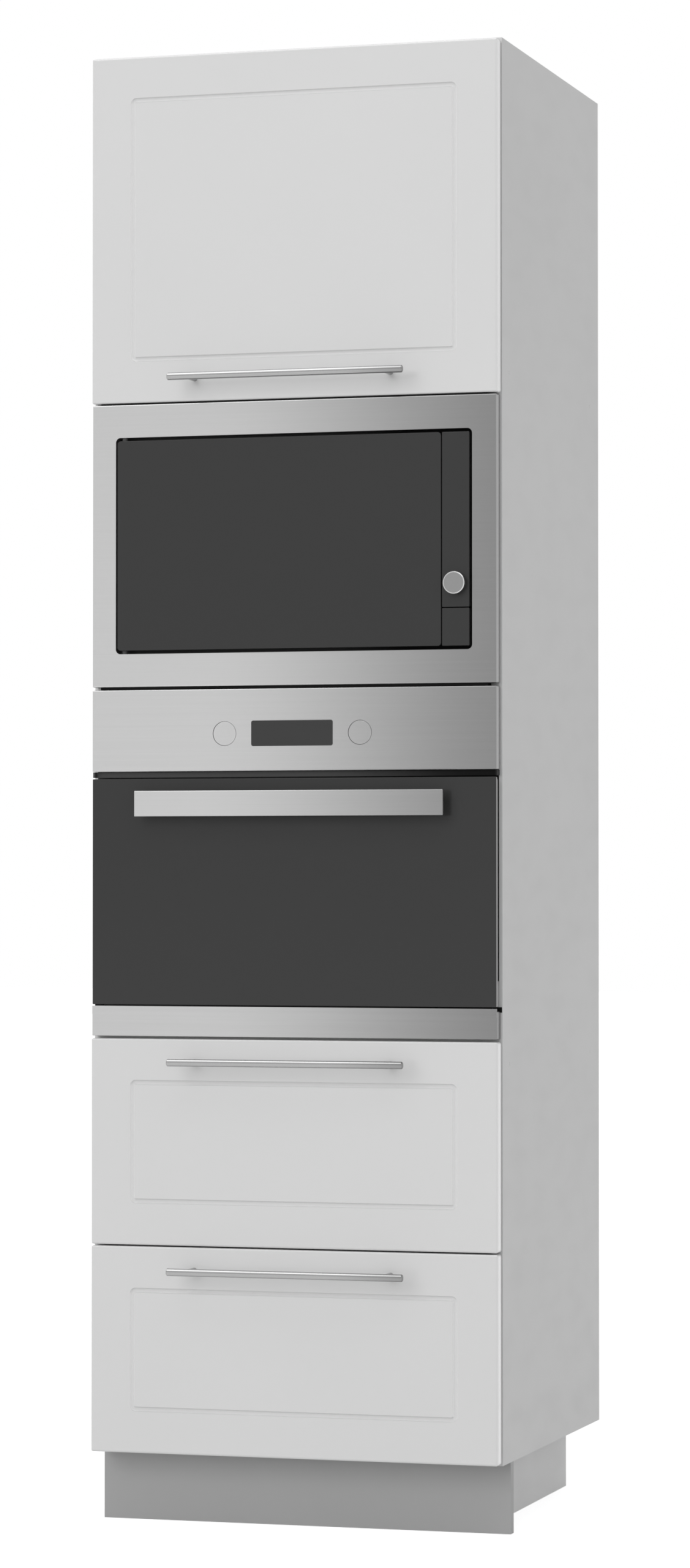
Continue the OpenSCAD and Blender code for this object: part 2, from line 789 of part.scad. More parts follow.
// Black front frame: it closes the casing, rests on the cabinet sides and carries the door hinges
module oven_frame() {
  flange_x = half_app - 2;
  mouth_z = [cavity_z, cavity_z + cavity_h];
  guide_r = 9;
  color("black") place() difference() {
    union() {
      block([-inner_x + 2, inner_x - 2], [carcass_y, casing_y], [oven_base_z, mw_shelf_z - 0.5]);
      both_sides() block([inner_x - 8, flange_x], [flange_y, carcass_y],
                         [door_z + 36, mw_shelf_z - 0.5]);
      block([-half_app + 3, half_app - 3], [oven_door_t + 0.6 - 8, flange_y],
            [door_top + 2, panel_z - 0.5]);
      both_sides() block([inner_x - 40, inner_x - 10], [flange_y - 1, carcass_y],
                         [door_top + 2, panel_z - 0.5]);
      both_sides() {
        block([hinge_x - ear_t / 2, hinge_x + ear_t / 2], [hinge_y, carcass_y + 1],
              [hinge_z - ear_r, hinge_z + ear_r]);
        bar_x([hinge_x - ear_t / 2, hinge_x + ear_t / 2], hinge_y, hinge_z, ear_r);
      }
      for (s = [-1, 1]) bar_y_dir(s * knob_x, [carcass_y, casing_y + guide_len], control_z, guide_r);
    }
    round_plate([-cavity_w / 2, cavity_w / 2], [flange_y - eps, casing_y + eps], mouth_z, cavity_r);
    both_sides() bar_x([hinge_x - ear_t, hinge_x + ear_t], hinge_y, hinge_z, hinge_pin_r + pin_fit);
    for (s = [-1, 1]) bar_y_dir(s * knob_x, [flange_y, casing_y + guide_len + eps], control_z,
                                stem_body_r + slide_fit);
  }
}

// Enamelled liner of the oven
module oven_cavity() {
  w = cavity_w / 2;
  z = [cavity_z, cavity_z + cavity_h];
  color("dimgray") place() difference() {
    round_plate([-w - liner_t, w + liner_t], [casing_y, casing_y + cavity_d + liner_t],
                [z[0] - liner_t, z[1] + liner_t], cavity_r + liner_t);
    round_plate([-w, w], [casing_y - eps, casing_y + cavity_d], z, cavity_r);
  }
}

// Control panel with the knob holes and the display recess
module oven_panel() {
  color("silver") place() difference() {
    eased_slab([-half_app, half_app], [0, panel_t], [panel_z, oven_top], 1.5, 1.6);
    block([-half_app + skin_t, half_app - skin_t], [panel_wall, panel_t + eps],
          [panel_z + skin_t, oven_top - skin_t]);
    for (s = [-1, 1]) bar_y_dir(s * knob_x, [-eps, panel_t + eps], control_z, knob_r + knob_gap);
    round_plate([-display_w / 2, display_w / 2], [-eps, panel_wall + eps],
                [control_z - display_h / 2, control_z + display_h / 2], 3);
  }
}

module oven_display() {
  fit = 0.1;
  color("black") place()
    round_plate([-display_w / 2 + fit, display_w / 2 - fit], [0.4, panel_wall + 2],
                [control_z - display_h / 2 + fit, control_z + display_h / 2 - fit], 3 - fit);
}

// Strip below the door: a folded sheet, open behind
module oven_strip() {
  lip_t = 1.5;
  fold_t = carcass_y;
  body_top = strip_top - 4;
  color("silver") place() difference() {
    union() {
      eased_slab([-half_app, half_app], [0, fold_t], [oven_z, body_top], 1, 1.1);
      block([-half_app, half_app], [0, lip_t], [body_top - 6, strip_top]);
      block([-half_app, half_app], [0, 3], [body_top - 8, body_top]);
    }
    block([-half_app + skin_t, half_app - skin_t], [skin_t + 1, fold_t + eps],
          [oven_z + skin_t, body_top - skin_t]);
  }
}

// Door seal round the mouth of the oven
module oven_seal() {
  seal_w = 8;
  seal_y = [oven_door_t + touch_gap, carcass_y];
  w = cavity_w / 2 + 4;
  z = [cavity_z - 4, cavity_z + cavity_h + 4];
  color("dimgray") place() difference() {
    round_plate([-w - seal_w, w + seal_w], seal_y, [z[0] - seal_w, z[1] + seal_w], cavity_r + 12);
    round_plate([-w, w], [seal_y[0] - eps, seal_y[1] + eps], z, cavity_r + 4);
  }
}

// Wire side racks, each tied to the liner by four studs
module oven_ladders() {
  rail_z = [for (k = [0:ladder_levels - 1]) ladder_first + k * ladder_step];
  z = [ladder_first - 14, rail_z[ladder_levels - 1] + ladder_pair + 14];
  color("silver") place() both_sides() {
    for (y = ladder_y) {
      bar_z(ladder_x, y, z, ladder_r);
      for (h = z) bar_x([ladder_x - ladder_r, cavity_w / 2], y, h, ladder_r);
    }
    for (h = rail_z, step = [0, ladder_pair])
      bar_y_dir(rail_x, [ladder_y[0] - 12, ladder_y[1] + 12], h + step, ladder_r);
  }
}

// Wire shelf on the third level
module oven_wire_shelf() {
  z = ladder_first + 2 * ladder_step + ladder_r + wire_r + 0.1;
  x = rack_x - wire_r;
  y = [ladder_y[0] - 8, ladder_y[1] + 4];
  thin_r = wire_r / 2;
  color("silver") place() {
    for (s = [-1, 1]) bar_y_dir(s * x, y, z, wire_r);
    for (h = y) bar_x([-x, x], h, z, wire_r);
    for (i = [1:bar_count]) bar_y_dir(-x + 2 * x * i / (bar_count + 1), y, z + thin_r, thin_r);
  }
}

// Enamelled tray on the second level: a pan with a flat rim
module oven_tray() {
  rim_z = ladder_first + ladder_step + ladder_r + 0.1;
  rim_t = 2;
  deep = 24;
  x = rack_x;
  y = [ladder_y[0] - 8, ladder_y[1] + 4];
  wall_x = x - 12;
  color("dimgray") place() difference() {
    union() {
      block([-x, x], y, [rim_z, rim_z + rim_t]);
      block([-wall_x, wall_x], [y[0] + 12, y[1] - 12], [rim_z - deep, rim_z + rim_t]);
    }
    block([-wall_x + rim_t, wall_x - rim_t], [y[0] + 12 + rim_t, y[1] - 12 - rim_t],
          [rim_z - deep + rim_t, rim_z + rim_t + eps]);
  }
}

// Grill element: one tube bent to and fro under the roof, its ends in the back wall
module oven_grill() {
  z = cavity_z + cavity_h - 12;
  y = [casing_y + 60, casing_y + cavity_d - 60];
  x0 = -grill_bends * grill_pitch / 2;
  color("dimgray") place() {
    for (i = [0:grill_bends]) {
      last = i == 0 || i == grill_bends;
      bar_y_dir(x0 + i * grill_pitch, [y[0], last ? casing_y + cavity_d : y[1]], z, grill_r);
    }
    for (i = [0:grill_bends - 1])
      translate([x0 + (i + 0.5) * grill_pitch, i % 2 == 0 ? y[0] : y[1], z])
        rotate([0, 0, i % 2 == 0 ? 180 : 0]) rotate_extrude(angle = 180)
          translate([grill_pitch / 2, 0]) circle(grill_r);
  }
}

module oven_glass() {
  color("black") place()
    eased_slab([-half_app + 0.3, half_app - 0.3], [0, glass_t], [door_z, door_top], 1, 1.5);
}

// Door frame behind the glass, with the plug that enters the mouth and the hinge pins
module oven_door_frame() {
  w = half_app - 3;
  notch = 3;
  win = [plug_w / 2 - window_margin, plug_z + window_margin, plug_z + plug_h - window_margin];
  rebate = 12;
  color("dimgray") place() {
    difference() {
      union() {
        round_plate([-w, w], [glass_t, oven_door_t], [door_z + 0.5, door_top - 2], 2);
        round_plate([-plug_w / 2, plug_w / 2], [oven_door_t - 1, oven_door_t + plug_t],
                    [plug_z, plug_z + plug_h], 14);
      }
      round_plate([-win[0], win[0]], [glass_t - eps, oven_door_t + plug_t + eps],
                  [win[1], win[2]], 10);
      round_plate([-win[0] - rebate, win[0] + rebate],
                  [oven_door_t + plug_t - glass_t - 0.2, oven_door_t + plug_t + eps],
                  [win[1] - rebate, win[2] + rebate], 10);
      both_sides() block([hinge_x - notch, hinge_x + notch], [glass_t, oven_door_t + eps],
                         [door_z, hinge_z + ear_r + 1.5]);
    }
    both_sides() bar_x([hinge_x - notch - 2, hinge_x + notch + 2], hinge_y, hinge_z, hinge_pin_r);
  }
}

module oven_inner_glass() {
  half = plug_w / 2 - window_margin + 12 - 0.1;
  y = oven_door_t + plug_t;
  color("lightblue", 0.5) place()
    round_plate([-half, half], [y - glass_t - 0.1, y - 0.1],
                [plug_z + window_margin - 11.9, plug_z + plug_h - window_margin + 11.9], 9.9);
}

// Flat bar handle on two brackets
module oven_handle() {
  top = door_top - oven_handle_drop;
  y = [-oven_handle_room - oven_handle_t, -oven_handle_room];
  bracket = [oven_handle_w / 2 - 44, oven_handle_w / 2 - 30];
  color("silver") place() {
    eased_slab([-oven_handle_w / 2, oven_handle_w / 2], y, [top - oven_handle_h, top], 1, 1.2);
    both_sides() round_plate(bracket, [y[1], 0], [top - oven_handle_h + 8, top - 8], 3);
  }
}

// Stem that slides in the frame and carries the cap of an oven knob
module knob_stem(x) {
  color("gray") place() {
    bar_y_dir(x, [12, carcass_y], control_z, stem_nose_r);
    bar_y_dir(x, [carcass_y - touch_gap, casing_y + guide_len - stem_short + knob_travel],
              control_z, stem_body_r);
  }
}

// Round cap, flush with the panel when pushed in
module knob_cap(x) {
  ease = 1;
  deep = carcass_y - 0.6;
  color("silver") place() difference() {
    translate([x, 0, control_z]) rotate([-90, 0, 0]) rotate_extrude() {
      translate([0, ease]) square([knob_r, deep - ease]);
      square([knob_r - ease, deep]);
      translate([knob_r - ease, ease]) circle(ease);
    }
    bar_y_dir(x, [11.8, carcass_y], control_z, stem_nose_r + pin_fit);
  }
}

// ---------- microwave ----------

// Box of flat sheets of thickness t, a hairline apart, open at the front
module sheet_box(x, y, z, t) {
  inside_z = [z[0] + t + seam, z[1] - t - seam];
  for (h = [z[0], z[1] - t]) block(x, y, [h, h + t]);
  for (s = [x[0], x[1] - t]) block([s, s + t], y, inside_z);
  block([x[0] + t + seam, x[1] - t - seam], [y[1] - t, y[1]], inside_z);
}

// Casing sheets with the cable gland and the cooling slots in the back, and the housing of the
// turntable motor on the floor sheet
module microwave_casing() {
  t = mw_shell_t;
  motor_r = 22;
  motor_z = [mw_case_z[0] + t + seam, mw_cavity_z[0] - t - seam];
  color("dimgray") place() {
    difference() {
      union() {
        sheet_box([-mw_case_x, mw_case_x], mw_case_y, mw_case_z, t);
        gland(mw_case_y[1], mw_case_z[0] + gland_up, t);
      }
      bar_y_dir(gland_x, [mw_case_y[1] - gland_out, mw_case_y[1] + gland_out + eps],
                mw_case_z[0] + gland_up, gland_r / 2);
      for (i = [-4:2], k = [0:3]) back_slot(i, k, mw_case_y[1], t, mw_case_z[1] - 40);
    }
    difference() {
      bar_z(table_mid[0], table_mid[1], motor_z, motor_r);
      bar_z(table_mid[0], table_mid[1], [mw_cavity_z[0] - table_pin_len - 2, motor_z[1] + eps],
            table_pin_r + pin_fit);
    }
  }
}

// Front plate round the cavity: it rests on the cabinet sides and guides the door button
module microwave_plate() {
  hook_slot = 6;
  hook_room = 10;
  boss_r = 7;
  button_z = mw_door_z + mw_button_h / 2;
  plate_y = [flange_y - eps, carcass_y + eps];
  color("black") place() difference() {
    union() {
      block([-inner_x + 1, inner_x - 1], [flange_y, carcass_y], [mw_z - 3, mw_top + 1]);
      both_sides() block([inner_x - 8, half_app - 4], [flange_y, carcass_y], [mw_z + 5, mw_top - 5]);
      bar_y_dir(mw_column_mid, [flange_y, mw_guide_end], button_z, boss_r);
    }
    block([mw_cavity_x[0] - mw_shell_t, mw_cavity_x[1] + mw_shell_t], plate_y,
          [mw_cavity_z[0] - mw_shell_t, mw_cavity_z[1] + mw_shell_t]);
    for (z = hook_z) block([hook_x - hook_slot, hook_x + hook_slot], plate_y,
                           [z - hook_room, z + hook_room]);
    bar_y_dir(mw_column_mid, [flange_y - eps, mw_guide_end + eps], button_z,
              mw_button_pin + slide_fit);
  }
}

// Cooking space of the microwave, of enamelled sheets
module microwave_cavity() {
  t = mw_shell_t;
  color("gainsboro") place() difference() {
    sheet_box([mw_cavity_x[0] - t, mw_cavity_x[1] + t], [flange_y, mw_cavity_y[1] + t],
              [mw_cavity_z[0] - t, mw_cavity_z[1] + t], t);
    bar_z(table_mid[0], table_mid[1], [mw_cavity_z[0] - t - eps, mw_cavity_z[0] + eps],
          table_pin_r + pin_fit);
  }
}

// Stainless frame folded round the front, with the two hinge pins of the door
module microwave_frame() {
  fold = 2;
  x = mw_mouth_w / 2;
  z = [mw_mouth_z, mw_mouth_z + mw_mouth_h];
  r = mw_corner + 2;
  color("silver") place() {
    difference() {
      eased_slab([-half_app, half_app], [0, mw_frame_t], [mw_z, mw_top], 2, 2.2);
      round_plate([-x, x], [-eps, mw_frame_t + eps], z, r);
      difference() {
        block([-half_app + fold, half_app - fold], [fold, mw_frame_t + eps],
              [mw_z + fold, mw_top - fold]);
        round_plate([-x - fold, x + fold], [fold - eps, mw_frame_t + eps + 1],
                    [z[0] - fold, z[1] + fold], r + fold);
      }
    }
    bar_z(mw_hinge[0], mw_hinge[1], [z[1] - 18, z[1] + fold / 2], mw_pin_r);
    bar_z(mw_hinge[0], mw_hinge[1], [z[0] - fold / 2, z[0] + 18], mw_pin_r);
  }
}

// Glass column that carries the knob
module microwave_control() {
  z = [mw_door_z + mw_button_h + mw_split, mw_door_z + mw_door_h];
  color("black") place() difference() {
    eased_slab(mw_column_x, [-mw_proud, flange_y], z, 0.8, 1.5);
    bar_y_dir(mw_column_mid, [-mw_proud - eps, 12], mw_knob_z, 3 + pin_fit);
  }
}

module microwave_knob() {
  ease = 1.2;
  face = -mw_proud - mw_knob_len;
  long = mw_knob_len - touch_gap;
  color("silver") place() {
    translate([mw_column_mid, face, mw_knob_z]) rotate([-90, 0, 0]) rotate_extrude() {
      translate([0, ease]) square([mw_knob_r, long - ease]);
      square([mw_knob_r - ease, long]);
      translate([mw_knob_r - ease, ease]) circle(ease);
    }
    bar_y_dir(mw_column_mid, [face + 2, 10], mw_knob_z, 3);
  }
}

module microwave_button() {
  back = flange_y - mw_button_travel - 0.4;
  mid_z = mw_door_z + mw_button_h / 2;
  color("black") place() {
    eased_slab(mw_column_x, [-mw_proud, back], [mw_door_z, mw_door_z + mw_button_h], 0.8, 1.5);
    bar_y_dir(mw_column_mid, [back - 1, mw_guide_end - mw_button_travel], mid_z, mw_button_pin);
  }
}

module microwave_glass() {
  color("black") place()
    eased_slab(mw_door_x, [-mw_proud, 1], [mw_door_z, mw_door_z + mw_door_h], 0.8, mw_corner);
}

// Door frame behind the glass, with the latch hooks and the hinge bores
module microwave_door_frame() {
  inset = 2.4;
  x = [mw_door_x[0] + inset, mw_door_x[1] - inset];
  z = [mw_door_z + inset, mw_door_z + mw_door_h - inset];
  color("dimgray") place() difference() {
    union() {
      round_plate(x, [1, mw_door_back], z, mw_corner);
      for (h = hook_z) {
        block([hook_x - 2, hook_x + 2], [mw_door_back - 1, carcass_y + 14], [h - 6, h + 6]);
        block([hook_x - 2, hook_x + 2], [carcass_y + 10, carcass_y + 14], [h - 8, h + 6]);
      }
    }
    round_plate([mw_cavity_x[0] + 14, mw_cavity_x[1] - 14], [1 - eps, mw_door_back + eps],
                [mw_cavity_z[0] + 14, mw_cavity_z[1] - 14], 12);
    bar_z(mw_hinge[0], mw_hinge[1], [z[0] - eps, z[0] + 14], mw_pin_r + pin_fit);
    bar_z(mw_hinge[0], mw_hinge[1], [z[1] - 14, z[1] + eps], mw_pin_r + pin_fit);
  }
}

// Glass plate with a raised rim, and the hub that the motor turns
module turntable() {
  under = mw_cavity_z[0] + 2 * roller_r + 2 * touch_gap;
  plate_t = 4;
  rim_h = 9;
  color("lightblue", 0.6) place() translate([table_mid[0], table_mid[1], 0]) {
    translate([0, 0, under]) rotate_extrude() {
      square([turntable_r, plate_t]);
      translate([turntable_r - plate_t, 0]) square([plate_t, rim_h]);
      translate([turntable_r - plate_t / 2, rim_h]) circle(plate_t / 2);
    }
    translate([0, 0, mw_cavity_z[0] + touch_gap]) cylinder(h = 2 * roller_r + 2, r = 14);
    translate([0, 0, mw_cavity_z[0] - table_pin_len])
      cylinder(h = table_pin_len + 2, r = table_pin_r);
  }
}

// Ring with three rollers, on which the plate runs
module roller_ring() {
  mid_z = mw_cavity_z[0] + touch_gap + roller_r;
  color("white") place() translate([table_mid[0], table_mid[1], mid_z]) {
    rotate_extrude() translate([ring_r - 3, -3]) square([6, 6]);
    for (a = [0:120:240]) rotate(a) {
      translate([ring_r + 5, 0, 0]) rotate([0, 90, 0]) cylinder(h = 7, r = roller_r);
      translate([ring_r, 0, 0]) rotate([0, 90, 0]) cylinder(h = 12, r = 2);
    }
  }
}

// ---------- output ----------

side_left();
side_right();
top_panel();
bottom_panel();
appliance_shelves();
cupboard_floor();
loose_shelf();
shelf_pins();
back_panels();
wall_rail();
plinth_front();
plinth_sides();
legs();
lift_units();
runner_rails();
oven_casing();
oven_frame();
oven_cavity();
oven_panel();
oven_display();
oven_strip();
oven_seal();
oven_wire_shelf();
oven_tray();
oven_ladders();
oven_grill();
microwave_casing();
microwave_plate();
microwave_cavity();
microwave_frame();
microwave_control();
lift_arms();
lift_guides();
flap_front();
flap_handle();
flap_brackets();
microwave_glass();
microwave_door_frame();
microwave_knob();
microwave_button();
turntable();
roller_ring();
oven_glass();
oven_door_frame();
oven_inner_glass();
oven_handle();
knob_stem(-knob_x);  // knob_left_stem
knob_cap(-knob_x);  // knob_left_cap
knob_stem(knob_x);  // knob_right_stem
knob_cap(knob_x);  // knob_right_cap
drawer_upper_front();
bar_handle(upper_z + drawer_h - handle_inset);  // drawer_upper_handle
drawer_box(upper_z);  // drawer_upper_box
runner_middle(upper_z + box_lift + runner_rise);  // runner_upper_middle
runner_inner(upper_z + box_lift + runner_rise);  // runner_upper_inner
drawer_lower_front();
bar_handle(lower_z + drawer_h - handle_inset);  // drawer_lower_handle
drawer_box(lower_z);  // drawer_lower_box
runner_middle(lower_z + box_lift + runner_rise);  // runner_lower_middle
runner_inner(lower_z + box_lift + runner_rise);  // runner_lower_inner
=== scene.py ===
"""Looks of the tall oven housing unit: finishes for the solids, fine pieces, light, floor and camera."""

import logging
import math
from dataclasses import dataclass
from enum import Enum
from typing import Callable, Sequence

import bpy
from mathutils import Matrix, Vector


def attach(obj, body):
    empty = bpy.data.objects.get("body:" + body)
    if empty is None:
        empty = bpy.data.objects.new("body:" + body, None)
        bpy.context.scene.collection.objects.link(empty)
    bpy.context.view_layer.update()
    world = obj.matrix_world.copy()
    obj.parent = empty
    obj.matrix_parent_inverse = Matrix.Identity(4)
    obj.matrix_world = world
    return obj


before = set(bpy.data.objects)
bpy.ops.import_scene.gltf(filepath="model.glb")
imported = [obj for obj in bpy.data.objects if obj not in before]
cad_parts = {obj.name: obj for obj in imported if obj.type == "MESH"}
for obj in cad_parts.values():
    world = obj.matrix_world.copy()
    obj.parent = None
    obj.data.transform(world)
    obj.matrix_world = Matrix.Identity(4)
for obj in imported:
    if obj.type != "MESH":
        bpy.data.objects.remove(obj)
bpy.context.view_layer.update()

log = logging.getLogger("tall_unit")

Vec = tuple[float, float, float]
Colour = tuple[float, float, float]
Pair = tuple[float, float]
FaceTest = Callable[[Vector, Vector], bool]
Tree = bpy.types.NodeTree
Node = bpy.types.Node
Socket = bpy.types.NodeSocket

# Millimetres in a metre.
MM = 1000
# How far in front of the frame's origin the door faces lie, in metres.
FACE_Y = 0.2735
BLACK: Colour = (0.0, 0.0, 0.0)
WHITE: Colour = (1.0, 1.0, 1.0)
EVEN: Vec = (1.0, 1.0, 1.0)
SHADER = "Principled BSDF"
# The places of a colour mix's factor and two colours among its inputs, and of its result.
MIX_INPUTS = (0, 6, 7)
MIX_RESULT = 2
# The depth of the finest relief at full strength, in metres.
BUMP_DEPTH = 0.0004
# The least share of a face's normal along a direction at which the face looks that way.
FACING = 0.9
# The turn, in degrees, from which an edge is rounded and up to which it is shaded smooth.
ROUNDED_FROM = 40
SMOOTH_UP_TO = 35


def at(x: float, y: float, z: float) -> Vec:
    """Turns millimetres measured from the plane of the door faces into the frame's metres.

    Args:
        x: Distance to the right of the middle.
        y: Distance behind the faces of the doors.
        z: Height above the floor.

    Returns:
        The same point in metres in the frame.
    """
    return (x / MM, y / MM - FACE_Y, z / MM)


def span(middle: float, reach: float) -> Pair:
    """Returns the limits of a stretch that reaches equally far both ways from its middle."""
    return (middle - reach, middle + reach)


def square(reach: float) -> list[Pair]:
    """Returns the corners of a square round 0, by how far its sides are from there."""
    return [(a, b) for a in (reach, -reach) for b in (reach, -reach)]


def linear(grey: float, tint: Colour = WHITE) -> Colour:
    """Turns a display grey from 0 to 255 into a linear colour, by the sRGB curve.

    Args:
        grey: The grey as a display shows it.
        tint: A factor for each channel.

    Returns:
        The linear colour.
    """
    c = grey / 255
    value = c / 12.92 if c <= 0.04045 else ((c + 0.055) / 1.055) ** 2.4
    return (value * tint[0], value * tint[1], value * tint[2])


# ---------------------------------------------------------------- node groups


class Sock(Enum):
    """The kinds of socket that the effect groups have."""

    COLOUR = "NodeSocketColor"
    VALUE = "NodeSocketFloat"
    VECTOR = "NodeSocketVector"


class Sum(Enum):
    """The sums that the node trees do."""

    ADD = "ADD"
    MULTIPLY = "MULTIPLY"
    MAXIMUM = "MAXIMUM"
    ABSOLUTE = "ABSOLUTE"
    LESS_THAN = "LESS_THAN"


@dataclass
class Effect:
    """A shader node group that several finishes share."""

    name: str

    def tree(self) -> Tree:
        """Returns the group, and builds it on first use."""
        found = bpy.data.node_groups.get(self.name)
        if found:
            return found
        tree = bpy.data.node_groups.new(self.name, "ShaderNodeTree")
        self.build(tree)
        return tree

    def build(self, tree: Tree) -> None:
        """Adds the group's sockets and nodes. Each effect has its own.

        Args:
            tree: The empty group.
        """
        raise NotImplementedError

    @staticmethod
    def ports(tree: Tree, inputs: dict[str, Sock | float], outputs: dict[str, Sock]) -> tuple[Node, Node]:
        """Adds a group's sockets and the two nodes that hold them.

        Args:
            tree: The group.
            inputs: The inputs' names, each with its kind, or with the number that it starts from.
            outputs: The outputs' names, each with its kind.

        Returns:
            The node that holds the inputs and the one that holds the outputs.
        """
        for name, given in inputs.items():
            kind = given if isinstance(given, Sock) else Sock.VALUE
            made = tree.interface.new_socket(name, in_out="INPUT", socket_type=kind.value)
            if kind is not given:
                made.default_value = given
        for name, kind in outputs.items():
            tree.interface.new_socket(name, in_out="OUTPUT", socket_type=kind.value)
        return tree.nodes.new("NodeGroupInput"), tree.nodes.new("NodeGroupOutput")

    @staticmethod
    def feed(tree: Tree, socket: Socket, value: Socket | Vec | float) -> None:
        """Links a socket to another one, or sets it to a fixed value.

        Args:
            tree: The tree that takes the link.
            socket: The input to feed.
            value: An output, or a colour, a vector or a number.
        """
        if isinstance(value, Socket):
            tree.links.new(value, socket)
        else:
            socket.default_value = (*value, 1.0) if socket.type == "RGBA" else value

    @staticmethod
    def noise(tree: Tree, stretch: Vec, scale: Socket | float, detail: float) -> Socket:
        """Adds noise on object coordinates, with its own scale on each axis.

        Args:
            tree: The tree that takes the nodes.
            stretch: The scale on each axis.
            scale: The noise's scale.
            detail: Its detail.

        Returns:
            The noise.
        """
        mapping = tree.nodes.new("ShaderNodeMapping")
        mapping.inputs["Scale"].default_value = stretch
        tree.links.new(tree.nodes.new("ShaderNodeTexCoord").outputs["Object"], mapping.inputs["Vector"])
        made = tree.nodes.new("ShaderNodeTexNoise")
        Effect.feed(tree, made.inputs["Scale"], scale)
        made.inputs["Detail"].default_value = detail
        tree.links.new(mapping.outputs["Vector"], made.inputs["Vector"])
        return made.outputs["Fac"]

    @staticmethod
    def parts(tree: Tree, coordinates: str) -> dict[str, Socket]:
        """Adds nodes that part the surface's coordinates.

        Args:
            tree: The tree that takes the nodes.
            coordinates: The coordinates' name.

        Returns:
            The three parts, by their letters.
        """
        split = tree.nodes.new("ShaderNodeSeparateXYZ")
        tree.links.new(tree.nodes.new("ShaderNodeTexCoord").outputs[coordinates], split.inputs[0])
        return {letter: split.outputs[letter] for letter in "XYZ"}

    @staticmethod
    def remap(
        tree: Tree, source: Socket, low: Socket | float, high: Socket | float, smooth: bool = False
    ) -> Socket:
        """Adds a node that spreads a value onto 0 to 1.

        Args:
            tree: The tree that takes the node.
            source: The value to spread.
            low: The value that becomes 0.
            high: The value that becomes 1.
            smooth: True to ease in and out.

        Returns:
            The spread value.
        """
        node = tree.nodes.new("ShaderNodeMapRange")
        if smooth:
            node.interpolation_type = "SMOOTHSTEP"
        Effect.feed(tree, node.inputs["From Min"], low)
        Effect.feed(tree, node.inputs["From Max"], high)
        tree.links.new(source, node.inputs["Value"])
        return node.outputs["Result"]

    @staticmethod
    def blend(tree: Tree, factor: Socket, first: Socket | Colour, second: Socket | Colour) -> Socket:
        """Adds a colour mix.

        Args:
            tree: The tree that takes the node.
            factor: How much of the second colour shows.
            first: A socket or a fixed colour.
            second: A socket or a fixed colour.

        Returns:
            The mixed colour.
        """
        mix = tree.nodes.new("ShaderNodeMix")
        mix.data_type = "RGBA"
        for slot, value in zip(MIX_INPUTS, (factor, first, second)):
            Effect.feed(tree, mix.inputs[slot], value)
        return mix.outputs[MIX_RESULT]

    @staticmethod
    def maths(tree: Tree, kind: Sum, first: Socket | float, second: Socket | float = 0.0) -> Socket:
        """Adds a sum.

        Args:
            tree: The tree that takes the node.
            kind: The sum.
            first: A socket or a number.
            second: A socket or a number.

        Returns:
            The result.
        """
        node = tree.nodes.new("ShaderNodeMath")
        node.operation = kind.value
        for slot, value in enumerate((first, second)):
            Effect.feed(tree, node.inputs[slot], value)
        return node.outputs[0]

    @staticmethod
    def wear(tree: Tree, ends: tuple[Node, Node], dark: Socket, rough: Socket) -> None:
        """Darkens a group's colour and adds to its roughness.

        Args:
            tree: The group.
            ends: The nodes that hold its inputs and its outputs.
            dark: How much darker the colour gets.
            rough: What the roughness gains.
        """
        enter, leave = ends
        tree.links.new(Effect.blend(tree, dark, enter.outputs["Colour"], BLACK), leave.inputs["Colour"])
        total = Effect.maths(tree, Sum.ADD, enter.outputs["Roughness"], rough)
        tree.links.new(total, leave.inputs["Roughness"])


@dataclass
class Handling(Effect):
    """Slow drift of tone and faint wipe marks, as on a surface that is cleaned by hand."""

    drift_scale: float = 3.0
    drift_detail: float = 2.0
    drift_range: Pair = (0.3, 0.7)
    mark_stretch: Vec = (1.0, 1.0, 2.5)
    mark_scale: float = 14.0
    mark_detail: float = 5.0
    mark_range: Pair = (0.45, 0.7)

    def build(self, tree: Tree) -> None:
        """Builds the drift of tone and the marks in the roughness from a noise each.

        Args:
            tree: The empty group.
        """
        ends = self.ports(
            tree,
            {"Colour": Sock.COLOUR, "Roughness": 0.4, "Drift": 0.04, "Marks": 0.1},
            {"Colour": Sock.COLOUR, "Roughness": Sock.VALUE},
        )
        given = ends[0].outputs
        slow = self.noise(tree, EVEN, self.drift_scale, self.drift_detail)
        marks = self.noise(tree, self.mark_stretch, self.mark_scale, self.mark_detail)
        tone = self.remap(tree, slow, *self.drift_range)
        spots = self.remap(tree, marks, *self.mark_range)
        dark = self.maths(tree, Sum.MULTIPLY, tone, given["Drift"])
        self.wear(tree, ends, dark, self.maths(tree, Sum.MULTIPLY, spots, given["Marks"]))


@dataclass
class Skin(Effect):
    """The fine relief of paint, foil, enamel or moulded plastic."""

    fine_detail: float = 2.0
    wave_scale: float = 60.0
    wave_detail: float = 1.0

    def build(self, tree: Tree) -> None:
        """Builds a height from two sizes of noise.

        Args:
            tree: The empty group.
        """
        enter, leave = self.ports(tree, {"Size": 900.0, "Waviness": 0.3}, {"Height": Sock.VALUE})
        fine = self.noise(tree, EVEN, enter.outputs["Size"], self.fine_detail)
        wave = self.noise(tree, EVEN, self.wave_scale, self.wave_detail)
        wide = self.maths(tree, Sum.MULTIPLY, wave, enter.outputs["Waviness"])
        tree.links.new(self.maths(tree, Sum.ADD, fine, wide), leave.inputs["Height"])


